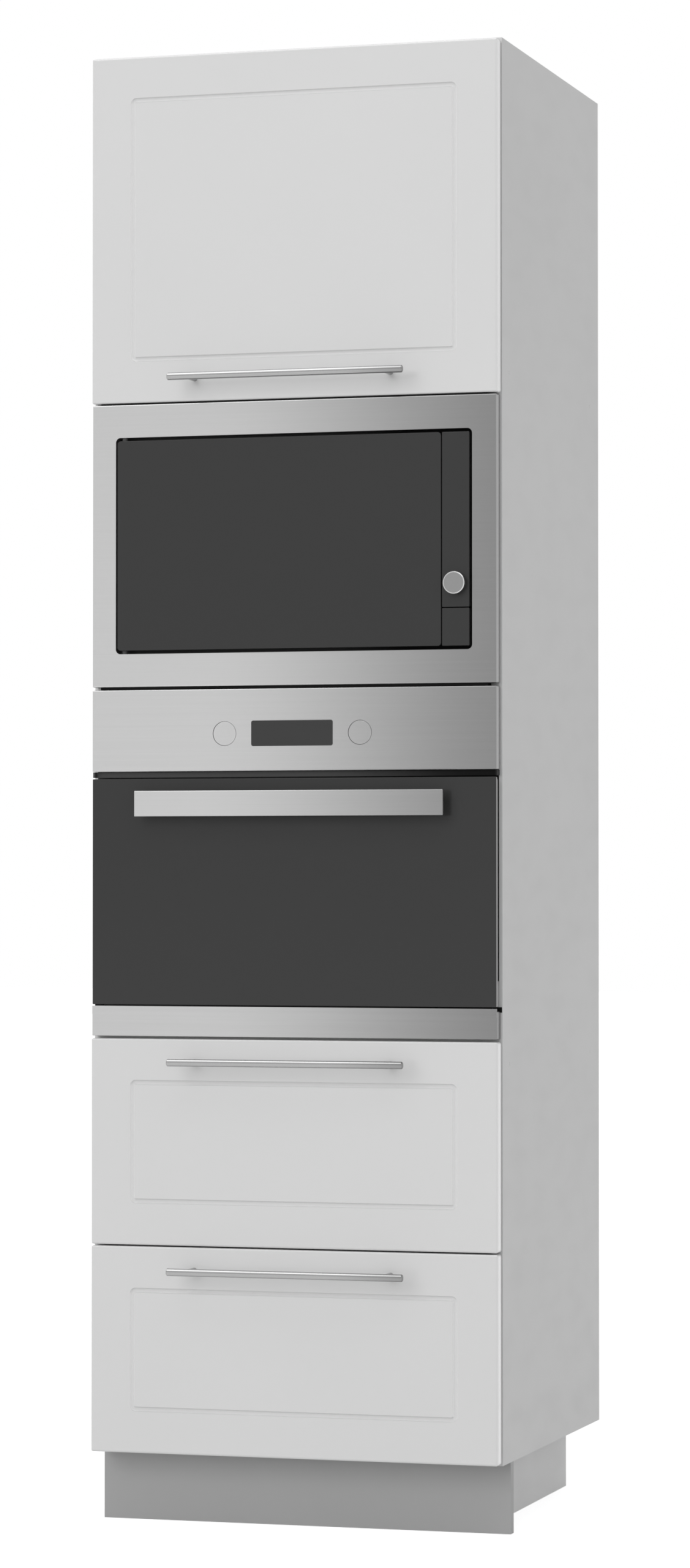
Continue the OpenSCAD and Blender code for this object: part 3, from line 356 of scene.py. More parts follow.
@dataclass
class Brushing(Effect):
    """Fine straight lines that the brush leaves in steel, along the X axis."""

    scale: float = 2.0
    line_stretch: Vec = (4.0, 900.0, 900.0)
    line_detail: float = 3.0
    coarse_stretch: Vec = (1.5, 160.0, 160.0)
    coarse_detail: float = 2.0
    tone_range: Pair = (0.7, 1.3)
    rough_gain: float = 0.08

    def build(self, tree: Tree) -> None:
        """Builds tone, roughness and height from noise drawn out along X.

        Args:
            tree: The empty group.
        """
        ends = self.ports(
            tree,
            {"Colour": Sock.COLOUR, "Roughness": 0.3, "Depth": 0.08},
            {"Colour": Sock.COLOUR, "Roughness": Sock.VALUE, "Height": Sock.VALUE},
        )
        enter, leave = ends
        lines = self.noise(tree, self.line_stretch, self.scale, self.line_detail)
        coarse = self.noise(tree, self.coarse_stretch, self.scale, self.coarse_detail)
        tone = self.remap(tree, self.maths(tree, Sum.ADD, lines, coarse), *self.tone_range)
        dark = self.maths(tree, Sum.MULTIPLY, tone, enter.outputs["Depth"])
        self.wear(tree, ends, dark, self.maths(tree, Sum.MULTIPLY, tone, self.rough_gain))
        tree.links.new(lines, leave.inputs["Height"])


@dataclass
class Drift(Effect):
    """A painted reflection falloff: the colour is painted slowly darker along X, with pale lugs at both ends
    if wanted.
    """

    lug_range: Pair = (0.2850, 0.2854)
    lug_colour: Colour = (0.8, 0.8, 0.8)

    def build(self, tree: Tree) -> None:
        """Builds a painted reflection falloff, a darkening of the colour that grows along X between two
        places.

        Args:
            tree: The empty group.
        """
        enter, leave = self.ports(
            tree,
            {"Colour": Sock.COLOUR, "Fall": 0.5, "From": -0.14, "To": 0.35, "Lug": 0.0},
            {"Colour": Sock.COLOUR},
        )
        given = enter.outputs
        x = self.parts(tree, "Object")["X"]
        along = self.remap(tree, x, given["From"], given["To"], smooth=True)
        painted_falloff = self.maths(tree, Sum.MULTIPLY, along, given["Fall"])
        # Painted reflection: the colour is blended towards black along X.
        painted_dark = self.blend(tree, painted_falloff, given["Colour"], BLACK)
        lug = self.remap(tree, self.maths(tree, Sum.ABSOLUTE, x), *self.lug_range)
        pale = self.maths(tree, Sum.MULTIPLY, lug, given["Lug"])
        tree.links.new(self.blend(tree, pale, painted_dark, self.lug_colour), leave.inputs["Colour"])


class Perforation(Effect):
    """Rows of small round holes, as punched through a sheet."""

    def build(self, tree: Tree) -> None:
        """Builds a mask that is 1 in the holes of a square grid.

        Args:
            tree: The empty group.
        """
        enter, leave = self.ports(tree, {"Stretch": Sock.VECTOR, "Hole": 0.33}, {"Mask": Sock.VALUE})
        mapping = tree.nodes.new("ShaderNodeMapping")
        tree.links.new(tree.nodes.new("ShaderNodeTexCoord").outputs["Object"], mapping.inputs["Vector"])
        tree.links.new(enter.outputs["Stretch"], mapping.inputs["Scale"])
        cells = tree.nodes.new("ShaderNodeTexVoronoi")
        cells.inputs["Scale"].default_value = 1.0
        cells.inputs["Randomness"].default_value = 0.0
        tree.links.new(mapping.outputs["Vector"], cells.inputs["Vector"])
        inside = self.maths(tree, Sum.LESS_THAN, cells.outputs["Distance"], enter.outputs["Hole"])
        tree.links.new(inside, leave.inputs["Mask"])


@dataclass
class PaintedEdgeHighlight(Effect):
    """A painted highlight: a paler tone painted on faces that turn from the front, more on upright ones than
    on level ones.
    """

    level_share: float = 0.55
    turn_range: Pair = (0.45, 0.95)
    pale: Colour = (0.95, 0.95, 0.95)

    def build(self, tree: Tree) -> None:
        """Builds a painted highlight, a tone that pales as the surface turns.

        Args:
            tree: The empty group.
        """
        enter, leave = self.ports(tree, {"Colour": Sock.COLOUR, "Lift": 0.5}, {"Colour": Sock.COLOUR})
        way = self.parts(tree, "Normal")
        upright = self.maths(tree, Sum.ABSOLUTE, way["X"])
        level = self.maths(tree, Sum.MULTIPLY, self.maths(tree, Sum.ABSOLUTE, way["Z"]), self.level_share)
        turned = self.remap(tree, self.maths(tree, Sum.MAXIMUM, upright, level), *self.turn_range)
        amount = self.maths(tree, Sum.MULTIPLY, turned, enter.outputs["Lift"])
        tree.links.new(self.blend(tree, amount, enter.outputs["Colour"], self.pale), leave.inputs["Colour"])


HANDLING = Handling("handling_marks")
SKIN = Skin("surface_skin")
BRUSHING = Brushing("brushed_lines")
PAINTED_REFLECTION_FALLOFF = Drift("painted_reflection_falloff")
PERFORATION = Perforation("punched_holes")
PAINTED_EDGE_HIGHLIGHT = PaintedEdgeHighlight("painted_edge_highlight")


# ---------------------------------------------------------------- finishes


@dataclass(frozen=True)
class Finish:
    """A surface finish that is one Principled material with handling marks and a fine skin."""

    name: str
    colour: Colour
    roughness: float = 0.4
    drift: float = 0.04
    marks: float = 0.08
    skin: float = 900.0
    waviness: float = 0.3
    relief: float = 0.02
    metallic: float = 0.0
    coat: float = 0.0
    coat_roughness: float = 0.1
    specular: float = 0.5
    slot: str = "zinc"
    edge: float = 0.0

    def group(self, tree: Tree, effect: Effect, **values: float | Vec) -> Node:
        """Places an effect group in a material.

        Args:
            tree: The material's nodes.
            effect: The effect.
            **values: Values of the group's inputs, by their names.

        Returns:
            The group's node.
        """
        node = tree.nodes.new("ShaderNodeGroup")
        node.node_tree = effect.tree()
        for name, value in values.items():
            Effect.feed(tree, node.inputs[name], value)
        return node

    def bump(self, tree: Tree, height: Socket) -> None:
        """Leads a height into the shader's normal.

        Args:
            tree: The material's nodes.
            height: The height.
        """
        node = tree.nodes.new("ShaderNodeBump")
        node.inputs["Strength"].default_value = self.relief
        node.inputs["Distance"].default_value = BUMP_DEPTH
        tree.links.new(height, node.inputs["Height"])
        tree.links.new(node.outputs["Normal"], tree.nodes[SHADER].inputs["Normal"])

    def tone(self, made: bpy.types.Material, effect: Effect, **values: float) -> None:
        """Puts an effect before the shader's colour.

        Args:
            made: The material, with its colour linked.
            effect: The effect.
            **values: Values of the group's inputs, by their names.
        """
        tree = made.node_tree
        base = tree.nodes[SHADER].inputs["Base Color"]
        node = self.group(tree, effect, **values)
        tree.links.new(base.links[0].from_socket, node.inputs["Colour"])
        tree.links.new(node.outputs["Colour"], base)

    def start(self) -> bpy.types.Material:
        """Makes the material and sets the shader's fixed values.

        Returns:
            The material, with its shader.
        """
        made = bpy.data.materials.new(f"{self.name}_finish")
        made.use_nodes = True
        shader = made.node_tree.nodes[SHADER]
        shader.inputs["Base Color"].default_value = (*self.colour, 1.0)
        shader.inputs["Roughness"].default_value = self.roughness
        shader.inputs["Metallic"].default_value = self.metallic
        shader.inputs["Coat Weight"].default_value = self.coat
        shader.inputs["Coat Roughness"].default_value = self.coat_roughness
        shader.inputs["Specular IOR Level"].default_value = self.specular
        return made

    def dress(self, made: bpy.types.Material) -> None:
        """Adds the nodes of this kind of finish.

        Args:
            made: The material.
        """
        tree = made.node_tree
        shader = tree.nodes[SHADER]
        worn = self.group(
            tree, HANDLING, Colour=self.colour, Roughness=self.roughness, Drift=self.drift, Marks=self.marks
        )
        tree.links.new(worn.outputs["Colour"], shader.inputs["Base Color"])
        tree.links.new(worn.outputs["Roughness"], shader.inputs["Roughness"])
        skin = self.group(tree, SKIN, Size=self.skin, Waviness=self.waviness)
        self.bump(tree, skin.outputs["Height"])

    def material(self) -> bpy.types.Material:
        """Returns the finish's material, and builds it on first use."""
        found = bpy.data.materials.get(f"{self.name}_finish")
        if found:
            return found
        made = self.start()
        self.dress(made)
        # A painted edge highlight, where the finish has one.
        if self.edge:
            self.tone(made, PAINTED_EDGE_HIGHLIGHT, Lift=self.edge)
        return made


@dataclass(frozen=True)
class Melamine(Finish):
    """Melamine or foil on board."""

    roughness: float = 0.5
    drift: float = 0.03
    skin: float = 1500.0
    waviness: float = 0.2
    relief: float = 0.03
    specular: float = 0.35


@dataclass(frozen=True)
class DarkGlass(Finish):
    """Smooth glass with a dark print behind it."""

    roughness: float = 0.14
    drift: float = 0.02
    marks: float = 0.03
    skin: float = 300.0
    waviness: float = 0.0
    relief: float = 0.0
    specular: float = 0.16


@dataclass(frozen=True)
class Plastic(Finish):
    """Moulded plastic with a fine grain."""

    roughness: float = 0.5
    drift: float = 0.05
    marks: float = 0.1
    skin: float = 1800.0
    waviness: float = 0.2
    relief: float = 0.08
    slot: str = "white_plastic"


@dataclass(frozen=True)
class Rubber(Finish):
    """Matt black rubber."""

    roughness: float = 0.75
    drift: float = 0.08
    marks: float = 0.1
    skin: float = 1600.0
    relief: float = 0.1
    slot: str = "seal_rubber"


@dataclass(frozen=True)
class BrushedSteel(Finish):
    """Brushed steel, whose colour may be painted darker along X across a wide front, as a painted reflection
    falloff.
    """

    roughness: float = 0.3
    metallic: float = 1.0
    painted_falloff: float = 0.0
    lines: float = 0.03
    start_x: float = -0.14
    end_x: float = 0.35

    def dress(self, made: bpy.types.Material) -> None:
        """Adds brushed lines, and the painted reflection falloff where the finish has one.

        Args:
            made: The material.
        """
        tree = made.node_tree
        shader = tree.nodes[SHADER]
        brushed = self.group(tree, BRUSHING, Colour=self.colour, Roughness=self.roughness, Depth=self.lines)
        tree.links.new(brushed.outputs["Colour"], shader.inputs["Base Color"])
        if self.painted_falloff:
            self.tone(made, PAINTED_REFLECTION_FALLOFF, Fall=self.painted_falloff, From=self.start_x, To=self.end_x)
        tree.links.new(brushed.outputs["Roughness"], shader.inputs["Roughness"])
        self.bump(tree, brushed.outputs["Height"])


@dataclass(frozen=True)
class BlackWithPaintedReflection(Finish):
    """Satin black whose colour is painted darker along X, as a painted reflection falloff, with pale lugs at
    both ends if wanted.
    """

    roughness: float = 0.5
    marks: float = 0.05
    skin: float = 700.0
    specular: float = 0.08
    painted_falloff: float = 0.95
    start_x: float = 0.04
    end_x: float = 0.17
    lug: float = 0.0

    def dress(self, made: bpy.types.Material) -> None:
        """Adds the skin and the fall of tone.

        Args:
            made: The material.
        """
        super().dress(made)
        self.tone(made, PAINTED_REFLECTION_FALLOFF, Fall=self.painted_falloff, From=self.start_x, To=self.end_x, Lug=self.lug)


@dataclass(frozen=True)
class PunchedSheet(Finish):
    """Sheet with rows of small holes, which show dark."""

    stretch: Vec = (400.0, 0.0, 400.0)
    hole: float = 0.33
    hole_colour: Colour = linear(14)

    def dress(self, made: bpy.types.Material) -> None:
        """Adds the holes to the plain skin.

        Args:
            made: The material.
        """
        super().dress(made)
        tree = made.node_tree
        base = tree.nodes[SHADER].inputs["Base Color"]
        holes = self.group(tree, PERFORATION, Stretch=self.stretch, Hole=self.hole)
        plain = base.links[0].from_socket
        tree.links.new(Effect.blend(tree, holes.outputs["Mask"], plain, self.hole_colour), base)


@dataclass(frozen=True)
class ClearGlass(Finish):
    """Glass that light passes through."""

    ior: float = 1.45

    def dress(self, made: bpy.types.Material) -> None:
        """Adds transmission and faint wipe marks.

        Args:
            made: The material.
        """
        tree = made.node_tree
        shader = tree.nodes[SHADER]
        shader.inputs["Transmission Weight"].default_value = 1.0
        shader.inputs["IOR"].default_value = self.ior
        worn = self.group(tree, HANDLING, Colour=self.colour, Roughness=self.roughness, Marks=self.marks)
        tree.links.new(worn.outputs["Roughness"], shader.inputs["Roughness"])


@dataclass(frozen=True)
class Finishes:
    """Every finish on the unit."""

    # The front's edge value gives it a painted highlight on faces that turn from the front.
    front: Finish = Finish(
        "front_lacquer",
        linear(214),
        roughness=0.36,
        drift=0.02,
        marks=0.06,
        skin=700.0,
        waviness=0.6,
        relief=0.012,
        coat=0.6,
        coat_roughness=0.12,
        edge=0.9,
    )
    board: Finish = Melamine("melamine_board", linear(212), drift=0.02)
    inside: Finish = Melamine("melamine_inside", linear(216))
    # The plinth front's foil is painted darker than the sides' foil, as painted shade under the overhanging
    # carcass.
    plinth: Finish = Melamine("plinth_foil", linear(166), specular=0.3)
    plinth_side: Finish = Melamine("plinth_side_foil", linear(221), specular=0.3)
    back: Finish = Finish(
        "white_hardboard",
        linear(214, (1.0, 0.99, 0.96)),
        roughness=0.65,
        drift=0.06,
        marks=0.1,
        skin=1200.0,
        waviness=0.6,
        relief=0.05,
    )
    # The steel, strip and bar finishes are painted darker along X as a painted reflection falloff; the steel
    # also has a painted edge highlight.
    steel: Finish = BrushedSteel("brushed_front", linear(189), painted_falloff=0.56, edge=0.16)
    strip: Finish = BrushedSteel("brushed_strip", linear(184), painted_falloff=0.56)
    bar: Finish = BrushedSteel(
        "satin_bar", linear(160), roughness=0.13, relief=0.002, lines=0.006, painted_falloff=0.3, start_x=0.05, end_x=0.2
    )
    knob: Finish = BrushedSteel("turned_knob", linear(141), relief=0.01, lines=0.01)
    rim: Finish = BrushedSteel(
        "polished_rim", linear(206), roughness=0.2, relief=0.0, lines=0.0, slot="steel"
    )
    chrome: Finish = BrushedSteel("chromed_wire", linear(215), roughness=0.16, relief=0.01)
    zinc: Finish = Finish(
        "zinc_plate",
        linear(190, (0.97, 0.99, 1.0)),
        roughness=0.38,
        drift=0.14,
        marks=0.15,
        skin=300.0,
        waviness=0.5,
        relief=0.04,
        metallic=1.0,
    )
    galvanised: Finish = Finish(
        "galvanised_sheet",
        linear(178, (0.98, 1.0, 1.0)),
        roughness=0.42,
        drift=0.25,
        marks=0.2,
        skin=90.0,
        waviness=0.5,
        relief=0.03,
        metallic=1.0,
        slot="galvanised",
    )
    glass: Finish = DarkGlass("black_glass", linear(58))
    # The oven door glass has a painted highlight on its edges.
    door_glass: Finish = DarkGlass("oven_door_glass", linear(58), edge=0.4)
    display: Finish = DarkGlass("display_glass", linear(53), roughness=0.16, specular=0.3)
    frosted: Finish = Finish(
        "frosted_lamp",
        linear(226, (1.0, 0.98, 0.92)),
        roughness=0.45,
        drift=0.03,
        skin=300.0,
        waviness=0.6,
        relief=0.03,
    )
    clear: Finish = ClearGlass(
        "clear_glass", (0.93, 0.96, 0.95), roughness=0.03, marks=0.04, slot="clear_glass"
    )
    # The gap, band and plate blacks are painted darker along X as a painted reflection falloff.
    gap: Finish = BlackWithPaintedReflection("black_painted_reflection", linear(80))
    band: Finish = BlackWithPaintedReflection("vent_black", linear(84), specular=0.1, painted_falloff=0.94, start_x=0.0, end_x=0.27)
    # The plate is painted black as painted shade in the gap round the microwave, and pale at its ends where
    # the board edges show.
    plate: Finish = BlackWithPaintedReflection("plate_painted_shade", linear(66), lug=0.85)
    # The door casing has a painted highlight on faces that turn from the front.
    door_sides: Finish = Finish(
        "door_casing",
        linear(38),
        roughness=0.45,
        drift=0.06,
        marks=0.1,
        skin=700.0,
        waviness=0.4,
        relief=0.04,
        specular=0.3,
        edge=0.45,
    )
    enamel: Finish = Finish(
        "dark_enamel",
        linear(66, (0.95, 0.98, 1.05)),
        roughness=0.2,
        drift=0.1,
        marks=0.1,
        skin=250.0,
        waviness=0.8,
        relief=0.03,
        coat=0.4,
        slot="enamel",
    )
    white_enamel: Finish = Finish(
        "white_enamel",
        linear(212),
        roughness=0.28,
        drift=0.015,
        marks=0.03,
        skin=420.0,
        waviness=0.2,
        relief=0.01,
    )
    plastic: Finish = Plastic("black_plastic", linear(44), slot="black_plastic")
    grey_plastic: Finish = Plastic("grey_plastic", linear(176), relief=0.06)
    white_plastic: Finish = Plastic(
        "white_plastic", linear(222, (1.0, 1.0, 0.98)), roughness=0.45, drift=0.03, relief=0.05
    )
    rubber: Finish = Rubber("seal_rubber", linear(48))
    # Near-black rubber for the strips and pads that stand in for the shade in gaps.
    painted_shade_rubber: Finish = Rubber("painted_shade_rubber", linear(14), roughness=0.8, specular=0.1)
    screen: Finish = PunchedSheet(
        "door_screen", linear(120), drift=0.05, marks=0.1, waviness=0.2, metallic=0.6, slot="black_metal"
    )
    lamp_vent: Finish = PunchedSheet(
        "lamp_vent",
        linear(206),
        roughness=0.35,
        marks=0.06,
        skin=250.0,
        waviness=0.4,
        slot="white_enamel",
        stretch=(0.0, 220.0, 220.0),
    )
    mica: Finish = Finish(
        "mica_sheet",
        linear(188, (1.0, 0.97, 0.88)),
        roughness=0.55,
        drift=0.16,
        marks=0.2,
        skin=200.0,
        waviness=0.8,
        relief=0.05,
    )


FINISHES = Finishes()


def dress_nodes(finish: Finish, *nodes: str) -> None:
    """Gives solids of the frame a finish.

    Args:
        finish: The finish.
        *nodes: The solids' node names.
    """
    for name in nodes:
        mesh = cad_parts[name].data
        mesh.materials.clear()
        mesh.materials.append(finish.material())
        log.info("dressed %s in %s", name, finish.name)


# ---------------------------------------------------------------- modelling


class Side(Enum):
    """The six ways a piece can face, each with the turn that leads up into it."""

    FRONT = ((0.0, -1.0, 0.0), (90.0, 0.0, 0.0))
    BACK = ((0.0, 1.0, 0.0), (-90.0, 0.0, 0.0))
    LEFT = ((-1.0, 0.0, 0.0), (0.0, -90.0, 0.0))
    RIGHT = ((1.0, 0.0, 0.0), (0.0, 90.0, 0.0))
    TOP = ((0.0, 0.0, 1.0), (0.0, 0.0, 0.0))
    UNDER = ((0.0, 0.0, -1.0), (180.0, 0.0, 0.0))

    @property
    def way(self) -> Vector:
        """Returns the direction."""
        return Vector(self.value[0])

    @property
    def turn(self) -> Vec:
        """Returns the turn in radians."""
        return tuple(math.radians(angle) for angle in self.value[1])

    @property
    def axis(self) -> str:
        """Returns the letter of the axis that the direction lies on."""
        return "XYZ"[max(range(3), key=lambda i: abs(self.way[i]))]


@dataclass
class Piece:
    """A fine piece, modelled with the hand tools in millimetres from the plane of the door faces."""

    name: str
    solid: bpy.types.Object | None = None

    def only(self, *objects: bpy.types.Object) -> None:
        """Selects nothing but the given objects and makes the first one active.

        Args:
            *objects: The objects.
        """
        if bpy.context.mode != "OBJECT":
            bpy.ops.object.mode_set(mode="OBJECT")
        bpy.ops.object.select_all(action="DESELECT")
        for item in objects:
            item.select_set(True)
        bpy.context.view_layer.objects.active = objects[0]

    def adopt(self) -> "Piece":
        """Takes over the primitive just added and puts its place into its mesh."""
        self.solid = bpy.context.object
        self.solid.name = self.solid.data.name = self.name
        bpy.ops.object.transform_apply(location=True, rotation=True, scale=True)
        return self

    def block(self, x: Pair, y: Pair, z: Pair) -> "Piece":
        """Starts from a cube at its size and place.

        Args:
            x: Its limits from left to right.
            y: Its limits from front to back.
            z: Its limits from below to above.

        Returns:
            The piece.
        """
        bpy.ops.object.select_all(action="DESELECT")
        size = tuple((side[1] - side[0]) / MM for side in (x, y, z))
        bpy.ops.mesh.primitive_cube_add(size=1.0, location=at(sum(x) / 2, sum(y) / 2, sum(z) / 2), scale=size)
        return self.adopt()

    def slat(self, centre: Vec, side: Side, size: Vec) -> "Piece":
        """Starts from a cube that faces a side.

        Args:
            centre: Its middle.
            side: The way it faces.
            size: Its width and height on that side, and its depth.

        Returns:
            The piece.
        """
        bpy.ops.object.select_all(action="DESELECT")
        scale = tuple(length / MM for length in size)
        bpy.ops.mesh.primitive_cube_add(size=1.0, location=at(*centre), rotation=side.turn, scale=scale)
        return self.adopt()

    def turned(self, centre: Vec, side: Side, profile: Sequence[Pair], corners: int = 32) -> "Piece":
        """Starts from a filled circle and draws it out through a profile, as on a lathe.

        Args:
            centre: The point of the axis at height 0.
            side: The way the axis goes.
            profile: Heights along the axis and the radius at each.
            corners: The number of corners round it.

        Returns:
            The piece.
        """
        bpy.ops.object.select_all(action="DESELECT")
        foot = Vector(at(*centre))
        height, radius = profile[0]
        bpy.ops.mesh.primitive_circle_add(
            vertices=corners,
            radius=radius / MM,
            fill_type="NGON",
            location=foot + side.way * (height / MM),
            rotation=side.turn,
        )
        self.adopt()
        self.pick(lambda place, normal: True)
        for next_height, next_radius in profile[1:]:
            step = side.way * ((next_height - height) / MM)
            bpy.ops.mesh.extrude_region_move(TRANSFORM_OT_translate={"value": tuple(step)})
            self.widen(side, next_radius / radius, foot + side.way * (next_height / MM))
            height, radius = next_height, next_radius
        return self.outward()

    def widen(self, side: Side, factor: float, middle: Vector) -> None:
        """Scales the selection across a direction.

        Args:
            side: The direction that keeps its length.
            factor: The scale.
            middle: The fixed point, in the frame's metres.
        """
        scale = tuple(1 + (factor - 1) * (1 - abs(part)) for part in side.way)
        bpy.ops.transform.resize(value=scale, center_override=tuple(middle))

    def pick(self, test: FaceTest) -> None:
        """Opens the mesh for editing with some faces selected.

        Args:
            test: Takes a face's place in millimetres and its normal.
        """
        self.only(self.solid)
        bpy.ops.object.mode_set(mode="EDIT")
        bpy.ops.mesh.select_mode(type="FACE")
        bpy.ops.mesh.select_all(action="DESELECT")
        bpy.ops.object.mode_set(mode="OBJECT")
        for face in self.solid.data.polygons:
            x, y, z = face.center
            face.select = test(Vector((x * MM, (y + FACE_Y) * MM, z * MM)), face.normal)
        bpy.ops.object.mode_set(mode="EDIT")

    def outward(self) -> "Piece":
        """Turns every face outwards and goes back to object mode."""
        self.only(self.solid)
        bpy.ops.object.mode_set(mode="EDIT")
        bpy.ops.mesh.select_all(action="SELECT")
        bpy.ops.mesh.normals_make_consistent(inside=False)
        bpy.ops.object.mode_set(mode="OBJECT")
        return self

    def step(self, side: Side, border: float, height: float) -> "Piece":
        """Raises or sinks a field inside the border of the faces on one side.

        Args:
            side: The side.
            border: The border's width.
            height: How far the field rises, or sinks where it is negative.

        Returns:
            The piece.
        """
        self.pick(lambda place, normal: normal.dot(side.way) > FACING)
        bpy.ops.mesh.inset(thickness=border / MM)
        bpy.ops.mesh.extrude_region_move(TRANSFORM_OT_translate={"value": tuple(side.way * (height / MM))})
        return self.outward()

    def hollow(self, side: Side, wall: float) -> "Piece":
        """Opens the piece right through along a direction and leaves a wall.

        Args:
            side: The direction.
            wall: The wall's thickness.

        Returns:
            The piece.
        """
        self.pick(lambda place, normal: abs(normal.dot(side.way)) > FACING)
        bpy.ops.mesh.inset(thickness=wall / MM)
        bpy.ops.mesh.bridge_edge_loops()
        return self.outward()

    def apply(self, kind: str, **settings: object) -> "Piece":
        """Adds a modifier and applies it.

        Args:
            kind: The modifier's kind.
            **settings: Its settings.

        Returns:
            The piece.
        """
        self.only(self.solid)
        modifier = self.solid.modifiers.new(kind.lower(), kind)
        for name, value in settings.items():
            setattr(modifier, name, value)
        bpy.ops.object.modifier_apply(modifier=modifier.name)
        return self

    def soften(self, width: float, segments: int = 2) -> "Piece":
        """Rounds the edges.

        Args:
            width: The rounding's width.
            segments: Its number of steps.

        Returns:
            The piece.
        """
        limit = {"limit_method": "ANGLE", "angle_limit": math.radians(ROUNDED_FROM)}
        return self.apply("BEVEL", width=width / MM, segments=segments, **limit)

    def cut(self, cutter: "Piece") -> "Piece":
        """Takes the cutter's shape out of the piece.

        Args:
            cutter: The piece to take out, which is used up.

        Returns:
            The piece.
        """
        self.apply("BOOLEAN", object=cutter.solid, operation="DIFFERENCE", solver="EXACT")
        bpy.data.objects.remove(cutter.solid, do_unlink=True)
        return self

    def join(self, *others: "Piece") -> "Piece":
        """Joins other pieces to this one.

        Args:
            *others: The pieces, which are used up.

        Returns:
            The piece.
        """
        self.only(self.solid, *(other.solid for other in others))
        bpy.ops.object.join()
        return self

    def twin(self) -> "Piece":
        """Returns a copy of the piece with a mesh of its own."""
        self.only(self.solid)
        bpy.ops.object.duplicate(linked=False)
        return Piece(self.name, bpy.context.object)

    def repeat(self, places: Sequence[Vec]) -> "Piece":
        """Copies the piece from the first place to the others.

        Args:
            places: The places.

        Returns:
            The piece, joined with its copies.
        """
        copies = []
        for place in places[1:]:
            copy = self.twin()
            move = tuple((b - a) / MM for a, b in zip(places[0], place))
            bpy.ops.transform.translate(value=move)
            bpy.ops.object.transform_apply(location=True, rotation=True, scale=True)
            copies.append(copy)
        return self.join(*copies) if copies else self

    def spread(self, count: int, centre: Vec, side: Side) -> "Piece":
        """Copies the piece evenly round an axis.

        Args:
            count: How many there are in the end.
            centre: A point on the axis.
            side: The way the axis goes.

        Returns:
            The piece, joined with its copies.
        """
        copies = []
        for number in range(1, count):
            copy = self.twin()
            bpy.ops.transform.rotate(
                value=math.tau * number / count, orient_axis=side.axis, center_override=at(*centre)
            )
            bpy.ops.object.transform_apply(location=True, rotation=True, scale=True)
            copies.append(copy)
        return self.join(*copies)

    def mirror(self) -> "Piece":
        """Adds the piece's twin on the other side of the unit's middle."""
        self.apply("MIRROR", use_axis=(True, False, False), use_mirror_merge=False)
        return self.outward()

    def settle(self, finish: Finish, body: str) -> None:
        """Smooths the piece, gives it its finish and lets it ride on a body.

        Args:
            finish: The finish.
            body: The body that carries it.
        """
        self.only(self.solid)
        bpy.ops.object.shade_smooth_by_angle(angle=math.radians(SMOOTH_UP_TO))
        self.solid.name = self.solid.data.name = self.name
        self.solid.data.materials.clear()
        self.solid.data.materials.append(finish.material())
        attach(self.solid, body)
        log.info("built %s in %s on %s", self.name, finish.name, body)


def screw(name: str, centre: Vec, side: Side, radius: float = 3.6, height: float = 1.7) -> Piece:
    """Models a pan-head screw with a cross recess.

    Args:
        name: The piece's name.
        centre: Where the head meets the surface.
        side: The way the head faces.
        radius: The head's radius.
        height: The head's height.

    Returns:
        The screw's head.
    """
    profile = [(0.0, radius), (0.4 * height, radius), (0.8 * height, 0.84 * radius), (height, 0.55 * radius)]
    head = Piece(name).turned(centre, side, profile, 20)
    tip = Vector(centre) + side.way * height
    long, thin, deep = 1.15 * radius, 0.26 * radius, 0.9 * height
    for size in ((long, thin, deep), (thin, long, deep)):
        head.cut(Piece("recess").slat(tuple(tip), side, size))
    return head


def add_screws(
    name: str,
    places: Sequence[Vec],
    side: Side,
    body: str,
    radius: float = 3.6,
    height: float = 1.7,
    paired: bool = False,
) -> None:
    """Models equal screws.

    Args:
        name: The piece's name.
        places: Where each head meets the surface.
        side: The way the heads face.
        body: The body that carries them.
        radius: A head's radius.
        height: A head's height.
        paired: True to add their twins on the other side of the unit's middle.
    """
    heads = screw(name, places[0], side, radius, height).repeat(places)
    if paired:
        heads.mirror()
    heads.settle(FINISHES.zinc, body)


def add_casing_screws(name: str, back: float, reach: float, rows: Vec) -> None:
    """Models the screws round the back of an appliance's casing.

    Args:
        name: The piece's name.
        back: The place of the casing's back.
        reach: How far the outer screws are from the middle.
        rows: The heights of the lower, the middle and the upper row.
    """
    low, middle, high = rows
    places = [(x, back, z) for x in (reach, 0.0, -reach) for z in (low, high)]
    places += [(x, back, middle) for x in (reach, -reach)]
    add_screws(name, places, Side.BACK, "cabinet", 4.0)


def add_gland_nut(name: str, back: float, gland: Pair) -> None:
    """Models the hexagonal nut of the gland for an appliance's cable.

    Args:
        name: The piece's name.
        back: The place of the casing's back.
        gland: The gland's place from left to right, and its height.
    """
    x, z = gland
    nut = Piece(name).turned((x, back, z), Side.BACK, [(0.0, 13.0), (4.5, 13.0)], 6)
    nut.hollow(Side.BACK, 3.6).soften(0.5).settle(FINISHES.plastic, "cabinet")


# ---------------------------------------------------------------- sub-assemblies


